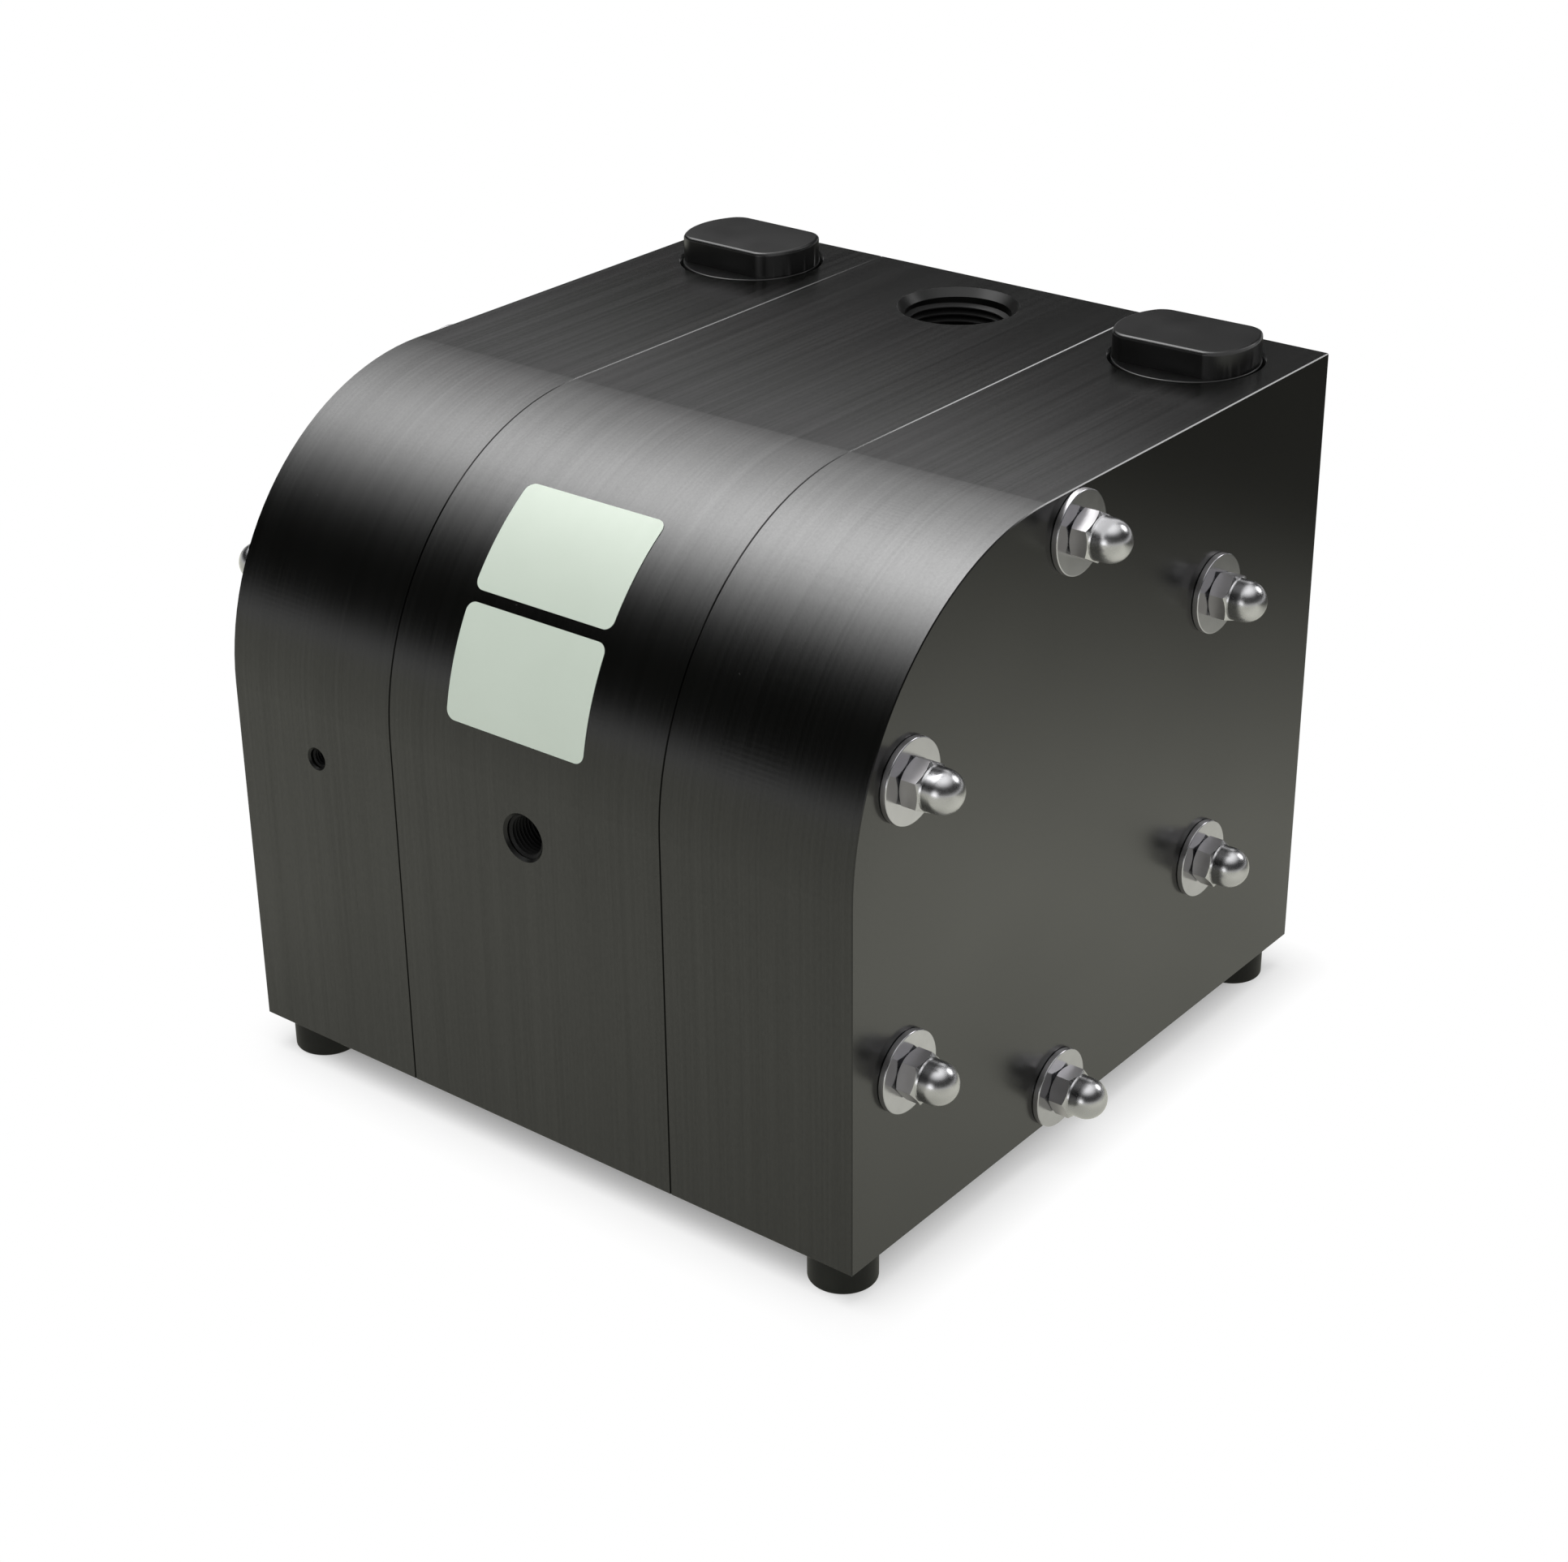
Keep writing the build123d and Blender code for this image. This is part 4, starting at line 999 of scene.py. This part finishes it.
head = disc("head", plug_head_radius, -plug_head_sunk)
for side in (1, -1):
    pick(head, "FACE")
    bpy.ops.mesh.bisect(
        plane_co=(0, side * plug_half_flats, 0), plane_no=(0, side, 0), use_fill=False, clear_outer=True
    )
    bpy.ops.object.mode_set(mode="OBJECT")
pick(head, "VERT", lambda middle: at_the_corner < from_corner(middle) < plug_corner * 1.1)
bpy.ops.mesh.dissolve_verts()
bpy.ops.object.mode_set(mode="OBJECT")
pick(head, "VERT", lambda middle: from_corner(middle) < at_the_corner)
bpy.ops.mesh.bevel(offset=plug_corner, segments=8, affect="VERTICES")
bpy.ops.object.mode_set(mode="OBJECT")
pick(head, "FACE")
rise(plug_head_height + plug_head_sunk)
leave_edit()
pick(head, "EDGE", lambda middle: middle.z > plug_head_height * 0.999)
bpy.ops.mesh.bevel(offset=plug_head_edge, segments=5, affect="EDGES")
leave_edit()
print("plug's head:", len(head.data.polygons), "faces")

# %% [markdown]
# Body and head are one turned piece, so they are joined before their last edges are rounded. The two
# plugs stand in one row with the port on top, and each was tightened to a slightly different angle.

# %% Column plugs in place
plug_x = 82 * millimetre
plug_edge = 0.2 * millimetre

combine(plug, head, "UNION")
soften(plug, plug_edge, segments=2)
dress(plug, black_plastic)
for side, turn, name, node in (
    (1, 1.5, "plug_right", "right_column_plug"),
    (-1, -1.0, "plug_left", "left_column_plug"),
):
    turned = Matrix.Rotation(math.radians(turn), 4, "Z")
    master = plug.copy()
    master.data = plug.data.copy()
    plug_places = [Matrix.Translation((side * plug_x, top_row_y, top_z)) @ turned]
    set_copies(master, name, plug_places, node)
bpy.data.objects.remove(plug)

# %% [markdown]
# The feet are round rubber buffers. Each has a shallow pocket on top for the plate of its stud, and
# one below for its tapped insert, which reaches further up with its narrower shank. The moulded rims
# are rounded.

# %% Feet
foot_radius = 10 * millimetre
foot_height = base_z
foot_edge = 0.7 * millimetre
pocket_radius = 7.55 * millimetre
plate_pocket_depth = 2.0 * millimetre
insert_pocket_depth = 1.5 * millimetre
shank_pocket_radius = 5.05 * millimetre
shank_pocket_depth = 7.05 * millimetre

foot = cylinder("foot", foot_radius, 0, foot_height)
for low, high, radius in (
    (foot_height - plate_pocket_depth, foot_height + millimetre, pocket_radius),
    (-millimetre, insert_pocket_depth, pocket_radius),
    (-millimetre, shank_pocket_depth, shank_pocket_radius),
):
    combine(foot, cylinder("pocket", radius, low, high), "DIFFERENCE")
soften(foot, foot_edge, segments=4)
dress(foot, foot_rubber)
feet_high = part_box("feet")[1]
foot_x, foot_y = feet_high.x - foot_radius, feet_high.y - foot_radius
foot_places = [Matrix.Translation((x, y, 0)) for x in (foot_x, -foot_x) for y in (foot_y, -foot_y)]
set_copies(foot, "foot", foot_places, "feet")

# %% [markdown]
# ## Threads
# The bores of the frame have the outer diameter of their threads. The crests of a thread stand
# inwards from that wall, as one helical ridge. Its section is a small trapezium, and the Screw
# modifier carries it round and up.

# %% Ridge of a thread
root_share = 0.94
crest_share = 0.15


def thread(name, place, outer_radius, inner_radius, pitch, low, turns):
    """Helical ridge on the wall of a bore, from its outer radius in to its inner radius."""
    bpy.ops.object.select_all(action="DESELECT")
    bpy.ops.mesh.primitive_plane_add(size=1)
    ridge = bpy.context.object
    ridge.name = name
    section = (outer_radius - inner_radius, pitch * root_share, 1)
    pick(ridge, "FACE")
    bpy.ops.transform.resize(value=section, center_override=(0, 0, 0))
    bpy.ops.transform.rotate(value=math.radians(-90), orient_axis="X", center_override=(0, 0, 0))
    bpy.ops.transform.translate(value=((outer_radius + inner_radius) / 2, 0, low))
    bpy.ops.object.mode_set(mode="OBJECT")
    pick(ridge, "EDGE", lambda middle: middle.x < inner_radius + 0.01 * millimetre)
    bpy.ops.transform.resize(value=(1, 1, crest_share), center_override=(0, 0, low))
    bpy.ops.mesh.select_all(action="SELECT")
    bpy.ops.mesh.delete(type="ONLY_FACE")
    bpy.ops.object.mode_set(mode="OBJECT")
    apply_modifier(
        ridge, "SCREW", axis="Z", angle=2 * math.pi, screw_offset=pitch, iterations=turns,
        steps=64, render_steps=64, use_normal_calculate=True,
    )
    pick(ridge, "VERT")
    bpy.ops.mesh.fill_holes(sides=4)
    leave_edit()
    bpy.ops.object.shade_smooth_by_angle(angle=math.radians(30))
    ridge.data.transform(place)
    ridge.data.materials.clear()
    ridge.data.materials.append(tapped_plastic)
    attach(ridge, "pump_body")
    print(name, "has", turns, "turns")


# %% [markdown]
# Three standard threads are enough. Both ports have a G1 pipe thread, the air inlet a G1/4 pipe
# thread, and the earthing hole an M6 thread. Every ridge starts near the bottom of its bore and ends
# just below the mouth.

# %% Threads in the bores
# Outer radius, inner radius and pitch of each thread.
g1_thread = (16.6245 * millimetre, 15.1455 * millimetre, 2.309 * millimetre)
g_quarter_thread = (6.5785 * millimetre, 5.7225 * millimetre, 1.337 * millimetre)
m6_thread = (3.0 * millimetre, 2.4585 * millimetre, 1.0 * millimetre)
g1_low = -17.75 * millimetre
inlet_low = -13.5 * millimetre
earth_low = -12.5 * millimetre

to_rear = Matrix.Rotation(math.radians(-90), 4, "X")
to_front = Matrix.Rotation(math.radians(90), 4, "X")
top_port = Matrix.Translation((0, top_row_y, top_z))
rear_port = Matrix.Translation((0, rear_y, low_port_z)) @ to_rear
inlet = Matrix.Translation((0, front_y, inlet_z)) @ to_front
earth = Matrix.Translation((earth_x, front_y, inlet_z)) @ to_front
thread("thread_top", top_port, *g1_thread, g1_low, 6)
thread("thread_rear", rear_port, *g1_thread, g1_low, 6)
thread("thread_inlet", inlet, *g_quarter_thread, inlet_low, 9)
thread("thread_earth", earth, *m6_thread, earth_low, 11)

# %% [markdown]
# ## Bare plates
# Two film plates lie one above the other on the shoulder. Each starts as a flat sheet with rounded
# corners. It is cut into strips, because a strip can follow the curve, and then every point moves
# from its height along the curve to its place on it. A thin shell gives the film its thickness.

# %% Bare plates on the shoulder
plate_corner = 3 * millimetre
plate_strip = 2 * millimetre
plate_thickness = 0.2 * millimetre
shoulder_y, shoulder_z = front_y + shoulder_radius, top_z - shoulder_radius


def plate(name, left, right, low, high):
    """Film plate between two places along X and two lengths measured up the shoulder's curve."""
    bpy.ops.object.select_all(action="DESELECT")
    bpy.ops.mesh.primitive_plane_add(size=1)
    film = bpy.context.object
    film.name = name
    pick(film, "FACE")
    bpy.ops.transform.resize(value=(right - left, high - low, 1), center_override=(0, 0, 0))
    bpy.ops.transform.translate(value=((left + right) / 2, (low + high) / 2, 0))
    bpy.ops.mesh.bevel(offset=plate_corner, segments=8, affect="VERTICES")
    strips = round((high - low) / plate_strip)
    for number in range(1, strips):
        bpy.ops.mesh.select_all(action="SELECT")
        cut = low + (high - low) * number / strips
        bpy.ops.mesh.bisect(plane_co=(0, cut, 0), plane_no=(0, 1, 0))
    bpy.ops.object.mode_set(mode="OBJECT")
    radius = shoulder_radius + plate_thickness
    for vertex in film.data.vertices:
        angle = vertex.co.y / shoulder_radius
        y, z = shoulder_y - radius * math.cos(angle), shoulder_z + radius * math.sin(angle)
        vertex.co = Vector((vertex.co.x, y, z))
    apply_modifier(film, "SOLIDIFY", thickness=plate_thickness * 0.9, offset=-1)
    pick(film, "FACE")
    leave_edit()
    bpy.ops.object.shade_smooth_by_angle(angle=smooth_below)
    film.data.materials.append(plate_film)
    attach(film, "pump_body")
    print(name, "spans", round(math.degrees((high - low) / shoulder_radius), 1), "degrees of the curve")


plate("plate_upper", -27.3 * millimetre, 22.5 * millimetre, 50.6 * millimetre, 84.7 * millimetre)
plate("plate_lower", -27.6 * millimetre, 22.8 * millimetre, 13.2 * millimetre, 47.1 * millimetre)

# %% [markdown]
# ## Membranes
# Each membrane is clamped at its rim, and the rod carries its middle to and fro. A piece can bend
# along one straight line only. So a copy of the membrane is cut into eight sectors round the rod's
# axis.

# %% Membranes cut into sectors
sector_count = 8
half_sector = math.pi / sector_count


def membrane_sector(node, number):
    """One sector of a membrane, closed at its cuts."""
    angle = 2 * half_sector * number
    piece = bpy.data.objects.new(f"{node}_sector_{number + 1}", frame["nodes"][node].data.copy())
    bpy.context.scene.collection.objects.link(piece)
    bpy.ops.object.select_all(action="DESELECT")
    piece.select_set(True)
    pick(piece, "VERT")
    bpy.ops.mesh.remove_doubles(threshold=0.001 * millimetre)
    for side in (-1, 1):
        edge = angle + side * half_sector
        inwards = (0, side * math.sin(edge), -side * math.cos(edge))
        bpy.ops.mesh.select_all(action="SELECT")
        bpy.ops.mesh.bisect(
            plane_co=(0, rod_axis_y, rod_axis_z), plane_no=inwards, use_fill=True, clear_inner=True
        )
    leave_edit()
    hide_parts(node)
    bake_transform(piece)


for node in ("right_membrane", "left_membrane"):
    for number in range(sector_count):
        membrane_sector(node, number)
print("membranes cut into", sector_count, "sectors each")
